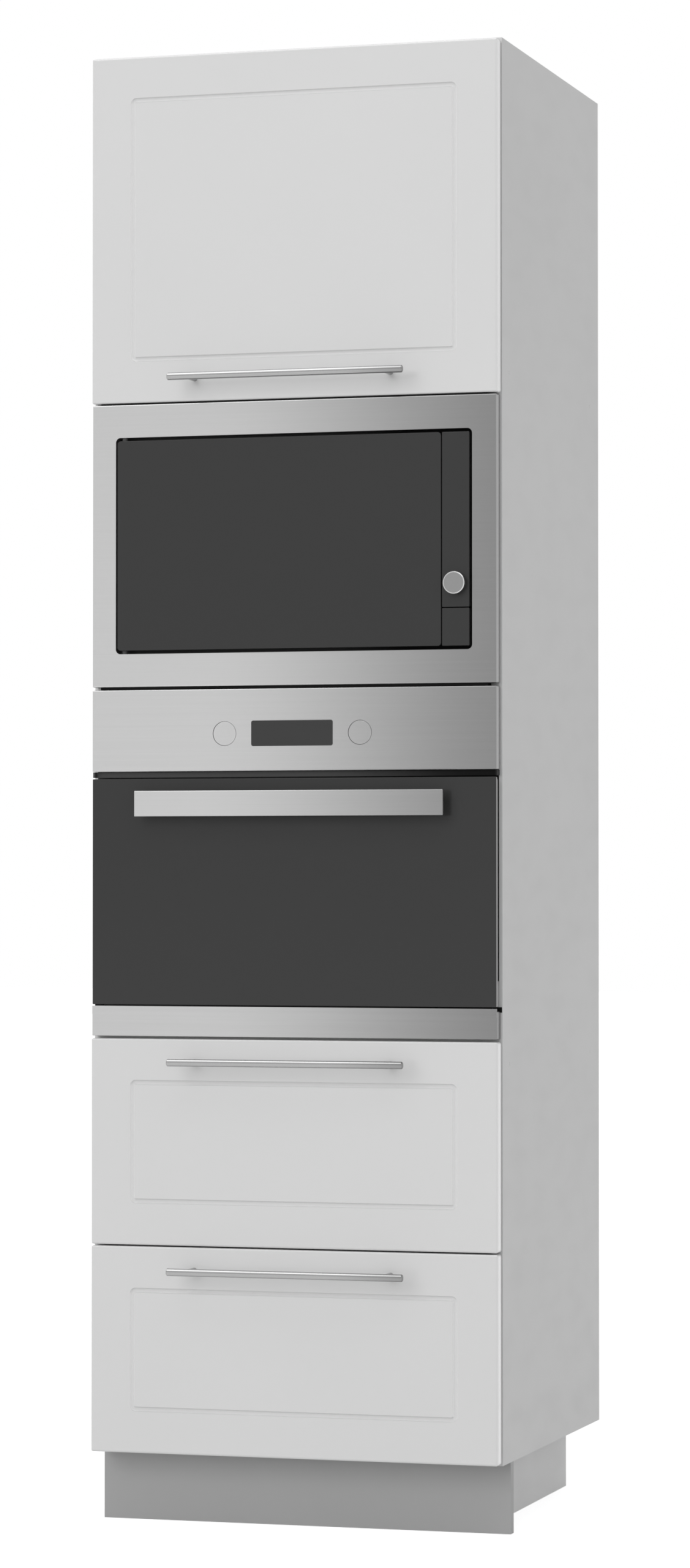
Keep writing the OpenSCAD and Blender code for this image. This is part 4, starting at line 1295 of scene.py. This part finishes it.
@dataclass
class Cabinet:
    """The boards, backs, plinth, feet and fittings."""

    body: str = "cabinet"
    cap_radius: float = 7.5
    cap_x: float = 251.0
    cap_rows: tuple[tuple[float, Pair], ...] = ((2069.0, (70.0, 530.0)), (680.75, (70.0, 500.0)))
    leg_x: float = 200.0
    leg_y: Pair = (124.0, 540.0)
    leg_flange_z: float = 95.0
    leg_screw_reach: float = 15.5
    stem_radius: float = 12.0
    clip_z: Pair = (40.0, 58.0)
    clip_ring: float = 3.0
    clip_wall: float = 2.8
    clip_start: float = 14.0
    arm_half: float = 4.0
    arm_inset: float = 2.0
    foot_half: float = 18.0
    foot_rise: float = 4.0
    foot_thick: float = 3.0
    plinth_back: float = 79.0
    plinth_inner: float = 234.0
    nail_rows: Pair = (688.0, 1586.5)
    nail_step: float = 130.0
    back_y: float = 572.0
    buffer_x: float = 292.5
    board_edge_y: float = 20.0
    buffer_rows: tuple[float, ...] = (112.0, 382.0, 406.0, 676.0, 1600.0, 2068.0)
    link_y: Pair = (57.0, 533.0)
    link_z: Pair = (654.75, 1620.0)
    link_radius: float = 2.4
    link_depth: float = 1.4
    board_face: float = 300.0

    def dress(self) -> None:
        """Gives the boards and fittings their finishes."""
        dress_nodes(FINISHES.board, "side_left", "side_right", "top_panel", "bottom_panel")
        dress_nodes(FINISHES.inside, "appliance_shelves", "cupboard_floor", "loose_shelf", "wall_rail")
        dress_nodes(FINISHES.back, "back_panels")
        # The plinth front is painted darker, as painted shade under the carcass.
        dress_nodes(FINISHES.plinth, "plinth_front")
        dress_nodes(FINISHES.plinth_side, "plinth_sides")
        dress_nodes(FINISHES.zinc, "shelf_pins", "runner_rails")
        dress_nodes(FINISHES.plastic, "legs")

    def build(self) -> None:
        """Models the fittings."""
        self.add_cam_caps()
        self.add_leg_screws()
        self.add_plinth_clips()
        self.add_back_nails()
        self.add_buffers()
        self.add_link_caps()

    def add_cam_caps(self) -> None:
        """Models the round caps over the fittings that hold the boards together."""
        places = [(self.cap_x, y, z) for z, row in self.cap_rows for y in row]
        profile = [(0.0, self.cap_radius), (0.5, self.cap_radius), (0.9, self.cap_radius - 0.7)]
        cap = Piece("cam_caps").turned(places[0], Side.UNDER, profile, 28)
        cap.step(Side.UNDER, 2.2, -0.4)
        cap.repeat(places).mirror().settle(FINISHES.white_plastic, self.body)

    def add_leg_screws(self) -> None:
        """Models the four screws under the flange of each leg."""
        corners = square(self.leg_screw_reach)
        places = [(self.leg_x + dx, y + dy, self.leg_flange_z) for y in self.leg_y for dx, dy in corners]
        add_screws("leg_screws", places, Side.UNDER, self.body, paired=True)

    def add_plinth_clips(self) -> None:
        """Models the clips that hold the plinth boards to the legs."""
        low, high = self.clip_z
        front_y, rear_y = self.leg_y
        radius = self.stem_radius + self.clip_ring
        rings = [(self.leg_x, y, low) for y in self.leg_y]
        clip = Piece("plinth_clips").turned(rings[0], Side.TOP, [(0.0, radius), (high - low, radius)], 40)
        clip.hollow(Side.TOP, self.clip_wall).soften(0.5).repeat(rings)
        arm_z = (low + self.arm_inset, high - self.arm_inset)
        foot_z = (low - self.foot_rise, high + self.foot_rise)
        front_arm = (self.plinth_back, front_y - self.clip_start)
        front_foot = (self.plinth_back, self.plinth_back + self.foot_thick)
        side_arm = (self.leg_x + self.clip_start, self.plinth_inner)
        side_foot = (self.plinth_inner - self.foot_thick, self.plinth_inner)
        clip.join(
            Piece("arm").block(span(self.leg_x, self.arm_half), front_arm, arm_z).soften(1.0),
            Piece("foot").block(span(self.leg_x, self.foot_half), front_foot, foot_z).soften(1.2),
            Piece("arm").block(side_arm, span(rear_y, self.arm_half), arm_z).soften(1.0),
            Piece("foot").block(side_foot, span(rear_y, self.foot_half), foot_z).soften(1.2),
        )
        clip.mirror().settle(FINISHES.plastic, self.body)

    def add_back_nails(self) -> None:
        """Models the nail heads that hold the hardboard to the boards."""
        places = [(self.nail_step * i, self.back_y, z) for z in self.nail_rows for i in range(-2, 3)]
        nail = Piece("back_nails").turned(places[0], Side.BACK, [(0.0, 2.2), (0.25, 2.2), (0.6, 1.4)], 14)
        nail.repeat(places).settle(FINISHES.zinc, self.body)

    def add_buffers(self) -> None:
        """Models the pale bumpers that the fronts close against."""
        places = [(self.buffer_x, self.board_edge_y, z) for z in self.buffer_rows]
        profile = [(0.0, 4.0), (0.7, 4.0), (1.3, 3.3), (1.6, 2.0)]
        buffer = Piece("door_buffers").turned(places[0], Side.FRONT, profile, 20)
        buffer.repeat(places).mirror().settle(FINISHES.white_plastic, self.body)

    def add_link_caps(self) -> None:
        """Models the small caps that close the linking holes, just inside the faces of the side boards."""
        radius = self.link_radius
        places = [(self.board_face - self.link_depth, y, z) for y in self.link_y for z in self.link_z]
        profile = [(0.0, radius), (1.1, radius), (1.35, radius - 0.35)]
        cap = Piece("link_hole_caps").turned(places[0], Side.RIGHT, profile, 24)
        cap.repeat(places).mirror().settle(FINISHES.board, self.body)


@dataclass
class LiftDoor:
    """The top door and the linkage that raises it."""

    housing_face: float = 267.0
    housing_screws: tuple[Pair, ...] = ((188.0, 1937.0), (188.0, 2028.0))
    adjuster: Pair = (172.0, 1982.0)
    key_radius: float = 3.2
    key_floor: float = 0.4
    bracket_x: float = 250.0
    bracket_y: float = 21.0
    bracket_rows: tuple[float, ...] = (1654.0, 1679.0, 1704.0)
    handle_x: float = 144.0
    handle_z: float = 1619.5
    handle_screw_y: float = 20.5

    def dress(self) -> None:
        """Gives the door and the linkage their finishes."""
        dress_nodes(FINISHES.front, "flap_front")
        dress_nodes(FINISHES.bar, "flap_handle")
        dress_nodes(FINISHES.zinc, "lift_arms", "lift_guides", "flap_brackets")
        dress_nodes(FINISHES.white_plastic, "lift_units")

    def build(self) -> None:
        """Models the screws and adjusters."""
        places = [(self.housing_face, y, z) for y, z in self.housing_screws]
        add_screws("lift_screws", places, Side.LEFT, "cabinet", 4.2, paired=True)
        self.add_adjusters()
        places = [(self.bracket_x, self.bracket_y, z) for z in self.bracket_rows]
        add_screws("bracket_screws", places, Side.BACK, "flap", paired=True)
        place = (self.handle_x, self.handle_screw_y, self.handle_z)
        add_screws("handle_screw_heads", [place], Side.BACK, "flap", 4.4, 1.4, paired=True)

    def add_adjusters(self) -> None:
        """Models the dials that set the lift units, each with a hexagonal hole for its key."""
        centre = (self.housing_face, *self.adjuster)
        profile = [(0.0, 9.0), (0.8, 9.0), (1.4, 8.2), (1.4, 6.0)]
        dial = Piece("lift_adjusters").turned(centre, Side.LEFT, profile, 32)
        bottom = (self.housing_face - self.key_floor, *self.adjuster)
        hole = [(0.0, self.key_radius), (3.0, self.key_radius)]
        dial.cut(Piece("key_hole").turned(bottom, Side.LEFT, hole, 6))
        dial.mirror().settle(FINISHES.grey_plastic, "cabinet")


@dataclass
class Drawers:
    """The two drawers and their runners."""

    side_inner: float = 260.3
    rail_web: float = 273.5
    floors: tuple[tuple[str, float], ...] = (("upper", 423.5), ("lower", 130.0))
    runner_rise: float = 50.0
    runner_screw_y: tuple[float, ...] = (60.0, 250.0, 440.0)
    bracket_sheet: float = 1.6
    bracket_leaf: float = 26.0
    bracket_y: Pair = (18.0, 58.0)
    bracket_rise: Pair = (60.0, 150.0)
    screw_inset: float = 15.0
    side_screw_y: float = 42.0
    screw_radius: float = 3.4

    def dress(self) -> None:
        """Gives the drawers their finishes."""
        for level, _ in self.floors:
            dress_nodes(FINISHES.front, f"drawer_{level}_front")
            dress_nodes(FINISHES.bar, f"drawer_{level}_handle")
            dress_nodes(FINISHES.inside, f"drawer_{level}_box")
            dress_nodes(FINISHES.zinc, f"runner_{level}_middle", f"runner_{level}_inner")

    def build(self) -> None:
        """Models the brackets that hold the fronts, and the screws of the runners."""
        for level, floor in self.floors:
            body = f"drawer_{level}"
            self.add_brackets(level, floor, body)
            places = [(self.rail_web, y, floor + self.runner_rise) for y in self.runner_screw_y]
            name = f"runner_screws_{level}"
            add_screws(name, places, Side.RIGHT, body, self.screw_radius, 1.6, paired=True)

    def add_brackets(self, level: str, floor: float, body: str) -> None:
        """Models the angle brackets between a drawer's sides and its front, with their screws.

        Args:
            level: The drawer.
            floor: The height of its box's lower edge.
            body: The body that carries them.
        """
        inner, inset = self.side_inner, self.screw_inset
        web = inner - self.bracket_sheet
        front_y = self.bracket_y[0]
        leaf_back = front_y + self.bracket_sheet
        low, high = (floor + height for height in self.bracket_rise)
        rise = (low, high)
        bracket = Piece(f"front_brackets_{level}").block((web, inner), self.bracket_y, rise).soften(0.6)
        leaf = Piece("leaf").block((inner - self.bracket_leaf, web), (front_y, leaf_back), rise).soften(0.6)
        bracket.join(leaf).mirror().settle(FINISHES.galvanised, body)
        side_places = [(web, self.side_screw_y, z) for z in (low + inset, high - inset)]
        front_places = [(inner - inset, leaf_back, z) for z in (low + inset, (low + high) / 2, high - inset)]
        radius = self.screw_radius
        heads = screw(f"bracket_screws_{level}", side_places[0], Side.LEFT, radius).repeat(side_places)
        heads.join(screw("front_screw", front_places[0], Side.BACK, radius).repeat(front_places))
        heads.mirror().settle(FINISHES.zinc, body)


@dataclass
class Microwave:
    """The built-in microwave."""

    hinge: Pair = (-249.6, 5.0)
    bush_radius: float = 3.9
    bush_rows: tuple[Pair, ...] = ((1231.2, 1238.1), (1531.4, 1538.3))
    window_x: Pair = (-186.0, 146.0)
    window_z: Pair = (1276.0, 1476.0)
    screen_y: Pair = (10.8, 11.8)
    choke_x: Pair = (-232.0, 188.0)
    choke_z: Pair = (1244.0, 1520.0)
    choke_y: Pair = (14.0, 15.4)
    choke_border: float = 42.0
    cavity_right: float = 160.0
    mica_thick: float = 0.8
    mica_y: Pair = (150.0, 262.0)
    mica_z: Pair = (1330.0, 1422.0)
    mica_inset: float = 7.0
    vent_thick: float = 0.6
    vent_y: Pair = (300.0, 366.0)
    vent_z: Pair = (1408.0, 1456.0)
    plate_centre: Pair = (-20.0, 214.0)
    plate_top: float = 1280.6
    plate_rings: Vec = (55.0, 92.0, 128.0)
    knob: Pair = (239.0, 1323.0)
    knob_radius: float = 15.5
    knob_face: float = -14.0
    # Near-black strips put in the gaps as painted shade.
    shade_strip_x: Pair = (-284.8, 284.8)
    shade_strip_y: Pair = (0.9, 17.8)
    shade_strip_rows: tuple[Pair, Pair] = ((1585.5, 1587.2), (1180.2, 1184.0))
    casing_back: float = 480.0
    screw_reach: float = 255.0
    screw_rows: Vec = (1203.0, 1380.0, 1556.0)
    gland: Pair = (190.0, 1219.8)

    def dress(self) -> None:
        """Gives the microwave's solids their finishes."""
        dress_nodes(FINISHES.steel, "microwave_frame")
        dress_nodes(FINISHES.glass, "microwave_glass", "microwave_control", "microwave_button")
        dress_nodes(FINISHES.knob, "microwave_knob")
        dress_nodes(FINISHES.galvanised, "microwave_casing")
        dress_nodes(FINISHES.white_enamel, "microwave_cavity")
        dress_nodes(FINISHES.gap, "microwave_door_frame")
        # The plate is painted black as painted shade in the gap round the microwave.
        dress_nodes(FINISHES.plate, "microwave_plate")
        dress_nodes(FINISHES.clear, "turntable")
        dress_nodes(FINISHES.white_plastic, "roller_ring")

    def build(self) -> None:
        """Models the fine pieces of the door, the cavity and the casing."""
        self.add_bushes()
        self.add_door_pieces()
        self.add_cavity_pieces()
        self.add_plate_rings()
        self.add_knob_rim()
        self.add_gap_shade_strips()
        add_casing_screws("microwave_screws", self.casing_back, self.screw_reach, self.screw_rows)
        add_gland_nut("microwave_gland_nut", self.casing_back, self.gland)

    def add_bushes(self) -> None:
        """Models the black bushes round the hinge pins."""
        low, high = self.bush_rows[0]
        places = [(*self.hinge, row[0]) for row in self.bush_rows]
        profile = [(0.0, self.bush_radius), (high - low, self.bush_radius)]
        bush = Piece("hinge_bushes").turned(places[0], Side.TOP, profile, 32)
        bush.hollow(Side.TOP, 1.3).repeat(places).settle(FINISHES.gap, "cabinet")

    def add_door_pieces(self) -> None:
        """Models the punched screen and the cover round it on the inside of the door."""
        screen = Piece("door_screen").block(self.window_x, self.screen_y, self.window_z)
        screen.step(Side.BACK, 5.0, 0.5).settle(FINISHES.screen, "microwave_door")
        cover = Piece("choke_cover").block(self.choke_x, self.choke_y, self.choke_z)
        cover.hollow(Side.BACK, self.choke_border).soften(0.5).settle(FINISHES.plastic, "microwave_door")

    def add_cavity_pieces(self) -> None:
        """Models the wave guide's cover with its screws, and the lamp's vent, on the cavity's right wall."""
        wall = self.cavity_right
        face = wall - self.mica_thick
        mica = Piece("waveguide_cover").block((face, wall), self.mica_y, self.mica_z)
        mica.step(Side.LEFT, 3.0, 0.3).settle(FINISHES.mica, "cabinet")
        inset = self.mica_inset
        (front_y, back_y), (low, high) = self.mica_y, self.mica_z
        places = [(face, front_y + inset, low + inset), (face, back_y - inset, high - inset)]
        add_screws("waveguide_screws", places, Side.LEFT, "cabinet", 3.2, 1.5)
        vent = Piece("cavity_lamp_vent").block((wall - self.vent_thick, wall), self.vent_y, self.vent_z)
        vent.step(Side.LEFT, 4.0, 0.4).settle(FINISHES.lamp_vent, "cabinet")

    def add_plate_rings(self) -> None:
        """Models the raised rings on the glass plate."""
        centre = (*self.plate_centre, self.plate_top)
        rings = []
        for radius in self.plate_rings:
            ring = Piece("plate_rings").turned(centre, Side.TOP, [(0.0, radius), (0.8, radius - 0.4)], 72)
            rings.append(ring.hollow(Side.TOP, 2.4))
        rings[0].join(*rings[1:]).settle(FINISHES.clear, "turntable")

    def add_knob_rim(self) -> None:
        """Models the polished ring round the knob's face."""
        x, z = self.knob
        radius = self.knob_radius
        profile = [(-1.2, radius + 0.1), (-0.2, radius + 0.1), (0.25, radius - 0.3)]
        rim = Piece("knob_rim").turned((x, self.knob_face, z), Side.FRONT, profile, 64)
        rim.hollow(Side.FRONT, 0.9).settle(FINISHES.rim, "microwave_knob")

    def add_gap_shade_strips(self) -> None:
        """Models near-black rubber strips in the gaps over and under the frame, which stand in for the shade
        in these gaps.
        """
        shade_strips = [Piece("frame_gap_shade_strips").block(self.shade_strip_x, self.shade_strip_y, z).soften(0.4) for z in self.shade_strip_rows]
        shade_strips[0].join(shade_strips[1]).settle(FINISHES.painted_shade_rubber, "cabinet")


@dataclass
class Oven:
    """The built-in oven."""

    cavity_back: float = 432.0
    fan: Pair = (0.0, 905.0)
    fan_radius: float = 92.0
    slot_reach: float = 60.0
    slot_count: int = 18
    hole_reach: float = 19.0
    hole_count: int = 8
    fan_screw_reach: float = 58.7
    fan_screw_y: float = 10.4
    lamp: Pair = (-152.0, 975.0)
    frame_face: float = 18.4
    frame_screw_x: float = 288.0
    frame_screw_rows: Pair = (800.0, 1000.0)
    plug_back: float = 30.0
    clip_x: float = 150.0
    clip_rows: Pair = (797.0, 1008.0)
    clip_half: Pair = (14.0, 7.0)
    clip_thick: float = 1.6
    band_end: tuple[Pair, Pair, Pair] = ((-296.6, -294.0), (1.5, 18.2), (1055.8, 1063.5))
    # Near-black pads put at the ends of a gap as painted shade.
    shade_pad: tuple[Pair, Pair, Pair] = ((-299.4, -285.6), (18.5, 20.0), (727.0, 734.4))
    casing_back: float = 560.0
    terminal_x: Pair = (112.0, 170.0)
    terminal_z: Pair = (702.0, 750.0)
    terminal_deep: float = 14.0
    terminal_screw_x: Pair = (121.0, 161.0)
    vent_reach: float = 27.0
    vent_count: int = 12
    cup_deep: float = 22.0
    screw_reach: float = 265.0
    screw_rows: Vec = (712.0, 930.0, 1156.0)
    gland: Pair = (190.0, 726.0)

    def dress(self) -> None:
        """Gives the oven's solids their finishes."""
        dress_nodes(FINISHES.steel, "oven_panel", "oven_handle")
        dress_nodes(FINISHES.strip, "oven_strip")
        dress_nodes(FINISHES.display, "oven_display")
        dress_nodes(FINISHES.door_glass, "oven_glass")
        dress_nodes(FINISHES.clear, "oven_inner_glass")
        dress_nodes(FINISHES.band, "oven_frame")
        dress_nodes(FINISHES.door_sides, "oven_door_frame")
        dress_nodes(FINISHES.galvanised, "oven_casing")
        dress_nodes(FINISHES.enamel, "oven_cavity", "oven_tray", "oven_grill")
        dress_nodes(FINISHES.rubber, "oven_seal")
        dress_nodes(FINISHES.chrome, "oven_wire_shelf", "oven_ladders")
        for side in ("left", "right"):
            dress_nodes(FINISHES.steel, f"knob_{side}_cap")
            dress_nodes(FINISHES.zinc, f"knob_{side}_stem")

    def build(self) -> None:
        """Models the fine pieces of the cavity, the door and the casing."""
        self.add_fan_cover()
        self.add_lamp()
        self.add_door_pieces()
        self.add_band_ends()
        self.add_gap_shade_pads()
        self.add_terminal_cover()
        self.add_fan_motor_cover()
        add_casing_screws("oven_screws", self.casing_back, self.screw_reach, self.screw_rows)
        add_gland_nut("oven_gland_nut", self.casing_back, self.gland)

    def add_fan_cover(self) -> None:
        """Models the slotted cover of the fan at the back of the cavity."""
        x, z = self.fan
        back, radius = self.cavity_back, self.fan_radius
        centre = (x, back, z)
        profile = [(0.1, radius), (8.0, radius), (10.5, radius - 4), (10.5, 34.0), (9.0, 31.0)]
        cover = Piece("fan_cover").turned(centre, Side.FRONT, profile, 72)
        slots = Piece("slots").slat((x + self.slot_reach, back - 9.5, z), Side.FRONT, (36.0, 4.5, 9.0))
        holes = Piece("slots").slat((x + self.hole_reach, back - 9.0, z), Side.FRONT, (12.0, 3.6, 6.0))
        cover.cut(slots.soften(1.2).spread(self.slot_count, centre, Side.FRONT))
        cover.cut(holes.spread(self.hole_count, centre, Side.FRONT))
        cover.settle(FINISHES.enamel, "cabinet")
        places = [(x + dx, back - self.fan_screw_y, z + dz) for dx, dz in square(self.fan_screw_reach)]
        add_screws("fan_cover_screws", places, Side.FRONT, "cabinet", 3.4, 1.5)

    def add_lamp(self) -> None:
        """Models the cavity's lamp in its ring."""
        x, z = self.lamp
        centre = (x, self.cavity_back, z)
        ring = Piece("oven_lamp_ring").turned(centre, Side.FRONT, [(0.1, 25.0), (3.0, 25.0), (5.0, 22.5)], 48)
        ring.hollow(Side.FRONT, 4.0).settle(FINISHES.chrome, "cabinet")
        dome = [(0.2, 19.5), (5.0, 19.5), (9.0, 17.5), (12.0, 13.0), (13.5, 7.0)]
        Piece("oven_lamp_glass").turned(centre, Side.FRONT, dome, 48).settle(FINISHES.frosted, "cabinet")

    def add_door_pieces(self) -> None:
        """Models the clips of the inner glass and the screws in the front frame."""
        wide, tall = self.clip_half
        back = self.plug_back
        places = [(self.clip_x, back, z) for z in self.clip_rows]
        clip_y = (back, back + self.clip_thick)
        clip = Piece("glass_clips").block(span(self.clip_x, wide), clip_y, span(self.clip_rows[0], tall))
        clip.step(Side.BACK, 2.2, 0.8).soften(0.4).repeat(places).mirror()
        clip.settle(FINISHES.plastic, "oven_door")
        places = [(self.frame_screw_x, self.frame_face, z) for z in self.frame_screw_rows]
        add_screws("frame_screws", places, Side.FRONT, "cabinet", 3.6, 0.8, paired=True)

    def add_band_ends(self) -> None:
        """Models the lugs that carry the vent band out to the panel's ends."""
        Piece("vent_band_ends").block(*self.band_end).soften(0.4).mirror().settle(FINISHES.band, "cabinet")

    def add_gap_shade_pads(self) -> None:
        """Models near-black rubber pads on the side boards' edges, under the door's lower corners, as painted
        shade at the ends of the gap there.
        """
        Piece("oven_gap_shade_pads").block(*self.shade_pad).soften(0.5).mirror().settle(FINISHES.painted_shade_rubber, "cabinet")

    def add_terminal_cover(self) -> None:
        """Models the cover over the cable's terminals, with its screws."""
        lid = self.casing_back + self.terminal_deep
        box = Piece("terminal_cover").block(self.terminal_x, (self.casing_back, lid), self.terminal_z)
        box.soften(2.0).step(Side.BACK, 4.0, 1.0).settle(FINISHES.plastic, "cabinet")
        places = [(x, lid + 1.0, sum(self.terminal_z) / 2) for x in self.terminal_screw_x]
        add_screws("terminal_screws", places, Side.BACK, "cabinet", 3.0, 1.4)

    def add_fan_motor_cover(self) -> None:
        """Models the vented cup over the fan's motor."""
        x, z = self.fan
        back, deep = self.casing_back, self.cup_deep
        profile = [(0.1, 54.0), (1.8, 54.0), (2.2, 45.0), (19.0, 43.0), (deep, 39.0), (deep, 14.0)]
        cup = Piece("fan_motor_cover").turned((x, back, z), Side.BACK, profile, 56)
        vents = Piece("vents").slat((x + self.vent_reach, back + deep, z), Side.BACK, (16.0, 3.6, 6.0))
        cup.cut(vents.soften(0.8).spread(self.vent_count, (x, back, z), Side.BACK))
        cup.settle(FINISHES.galvanised, "cabinet")


# ---------------------------------------------------------------- stage


@dataclass
class Lamp:
    """A soft rectangular lamp that looks at a point."""

    name: str
    place: Vec
    aim: Vec
    size: Pair
    power: float
    mirrored: bool = False
    lights: bool = True

    def build(self) -> None:
        """Adds the lamp to the scene."""
        data = bpy.data.lights.new(self.name, "AREA")
        data.shape = "RECTANGLE"
        data.size, data.size_y = self.size
        data.energy = self.power
        lamp = bpy.data.objects.new(self.name, data)
        lamp.visible_glossy = self.mirrored
        lamp.visible_diffuse = self.lights
        lamp.location = self.place
        lamp.rotation_euler = (Vector(self.aim) - Vector(self.place)).to_track_quat("-Z", "Y").to_euler()
        bpy.context.scene.collection.objects.link(lamp)


@dataclass
class Stage:
    """The pale floor, the soft light and the camera."""

    lens: float = 104.95
    sensor: float = 36.0
    sight: float = 200.0
    eye: Vec = at(1911.7, -6117.6, 910.1)
    yaw: float = 16.687
    pitch: float = 1.209
    floor_size: float = 60.0
    floor_colour: Colour = (0.86, 0.86, 0.86)
    floor_roughness: float = 0.9
    floor_specular: float = 0.1
    floor_lift: float = 0.62
    ambient: float = 0.6
    lamps: tuple[Lamp, ...] = (
        Lamp("key_lamp", place=(-9.0, -27.0, 11.0), aim=(0.0, -0.2, 1.0), size=(17.0, 17.0), power=2780.0),
        Lamp("top_lamp", place=(0.6, -2.6, 4.6), aim=(0.0, -0.3, 1.2), size=(4.0, 1.5), power=15.0),
        Lamp(
            "top_card",
            place=(0.0, -1.3, 5.2),
            aim=(0.0, -1.3, 0.0),
            size=(9.0, 5.0),
            power=285.0,
            mirrored=True,
            lights=False,
        ),
    )

    def build(self) -> None:
        """Builds the camera, the world, the floor and the lamps."""
        self.add_camera()
        self.add_world()
        self.add_floor()
        for lamp in self.lamps:
            lamp.build()

    @staticmethod
    def looked_at(tree: Tree) -> Socket:
        """Adds a value that is 1 for what the camera or a mirror looks at, and 0 for the light that it gives.

        Args:
            tree: The tree that takes the nodes.

        Returns:
            The value.
        """
        path = tree.nodes.new("ShaderNodeLightPath").outputs
        return Effect.maths(tree, Sum.MAXIMUM, path["Is Camera Ray"], path["Is Glossy Ray"])

    def add_camera(self) -> None:
        """Adds the camera at the photograph's place and angle."""
        data = bpy.data.cameras.new("photo_camera")
        data.lens = self.lens
        data.sensor_width = self.sensor
        data.clip_end = self.sight
        camera = bpy.data.objects.new("photo_camera", data)
        camera.location = self.eye
        camera.rotation_euler = (math.radians(90 + self.pitch), 0.0, math.radians(self.yaw))
        bpy.context.scene.collection.objects.link(camera)
        bpy.context.scene.camera = camera
        bpy.context.scene.view_settings.view_transform = "Standard"

    def add_world(self) -> None:
        """Lights the unit evenly from all round, and shows white behind it."""
        world = bpy.data.worlds.new("soft_sky")
        world.use_nodes = True
        tree = world.node_tree
        background = tree.nodes["Background"]
        strength = tree.nodes.new("ShaderNodeMapRange")
        strength.inputs["To Min"].default_value = self.ambient
        strength.inputs["To Max"].default_value = 1.0
        tree.links.new(self.looked_at(tree), strength.inputs["Value"])
        tree.links.new(strength.outputs["Result"], background.inputs["Strength"])
        background.inputs["Color"].default_value = (*WHITE, 1.0)
        bpy.context.scene.world = world

    def add_floor(self) -> None:
        """Adds a wide pale floor that shows white and keeps the unit's soft shadow."""
        bpy.ops.object.select_all(action="DESELECT")
        bpy.ops.mesh.primitive_plane_add(size=self.floor_size, location=(0.0, 0.0, 0.0))
        floor = bpy.context.object
        floor.name = "studio_floor"
        made = bpy.data.materials.new("pale_floor")
        made.use_nodes = True
        tree = made.node_tree
        shader = tree.nodes[SHADER]
        shader.inputs["Base Color"].default_value = (*self.floor_colour, 1.0)
        shader.inputs["Roughness"].default_value = self.floor_roughness
        shader.inputs["Specular IOR Level"].default_value = self.floor_specular
        shader.inputs["Emission Color"].default_value = (*WHITE, 1.0)
        glow = Effect.maths(tree, Sum.MULTIPLY, self.looked_at(tree), self.floor_lift)
        tree.links.new(glow, shader.inputs["Emission Strength"])
        floor.data.materials.append(made)


def main() -> None:
    """Builds and dresses every sub-assembly, then the stage."""
    logging.basicConfig(level=logging.INFO, format="%(name)s: %(message)s")
    for part in (Cabinet(), LiftDoor(), Drawers(), Microwave(), Oven()):
        part.dress()
        part.build()
        log.info("finished %s", type(part).__name__)
    Stage().build()


if __name__ == "__main__":
    main()
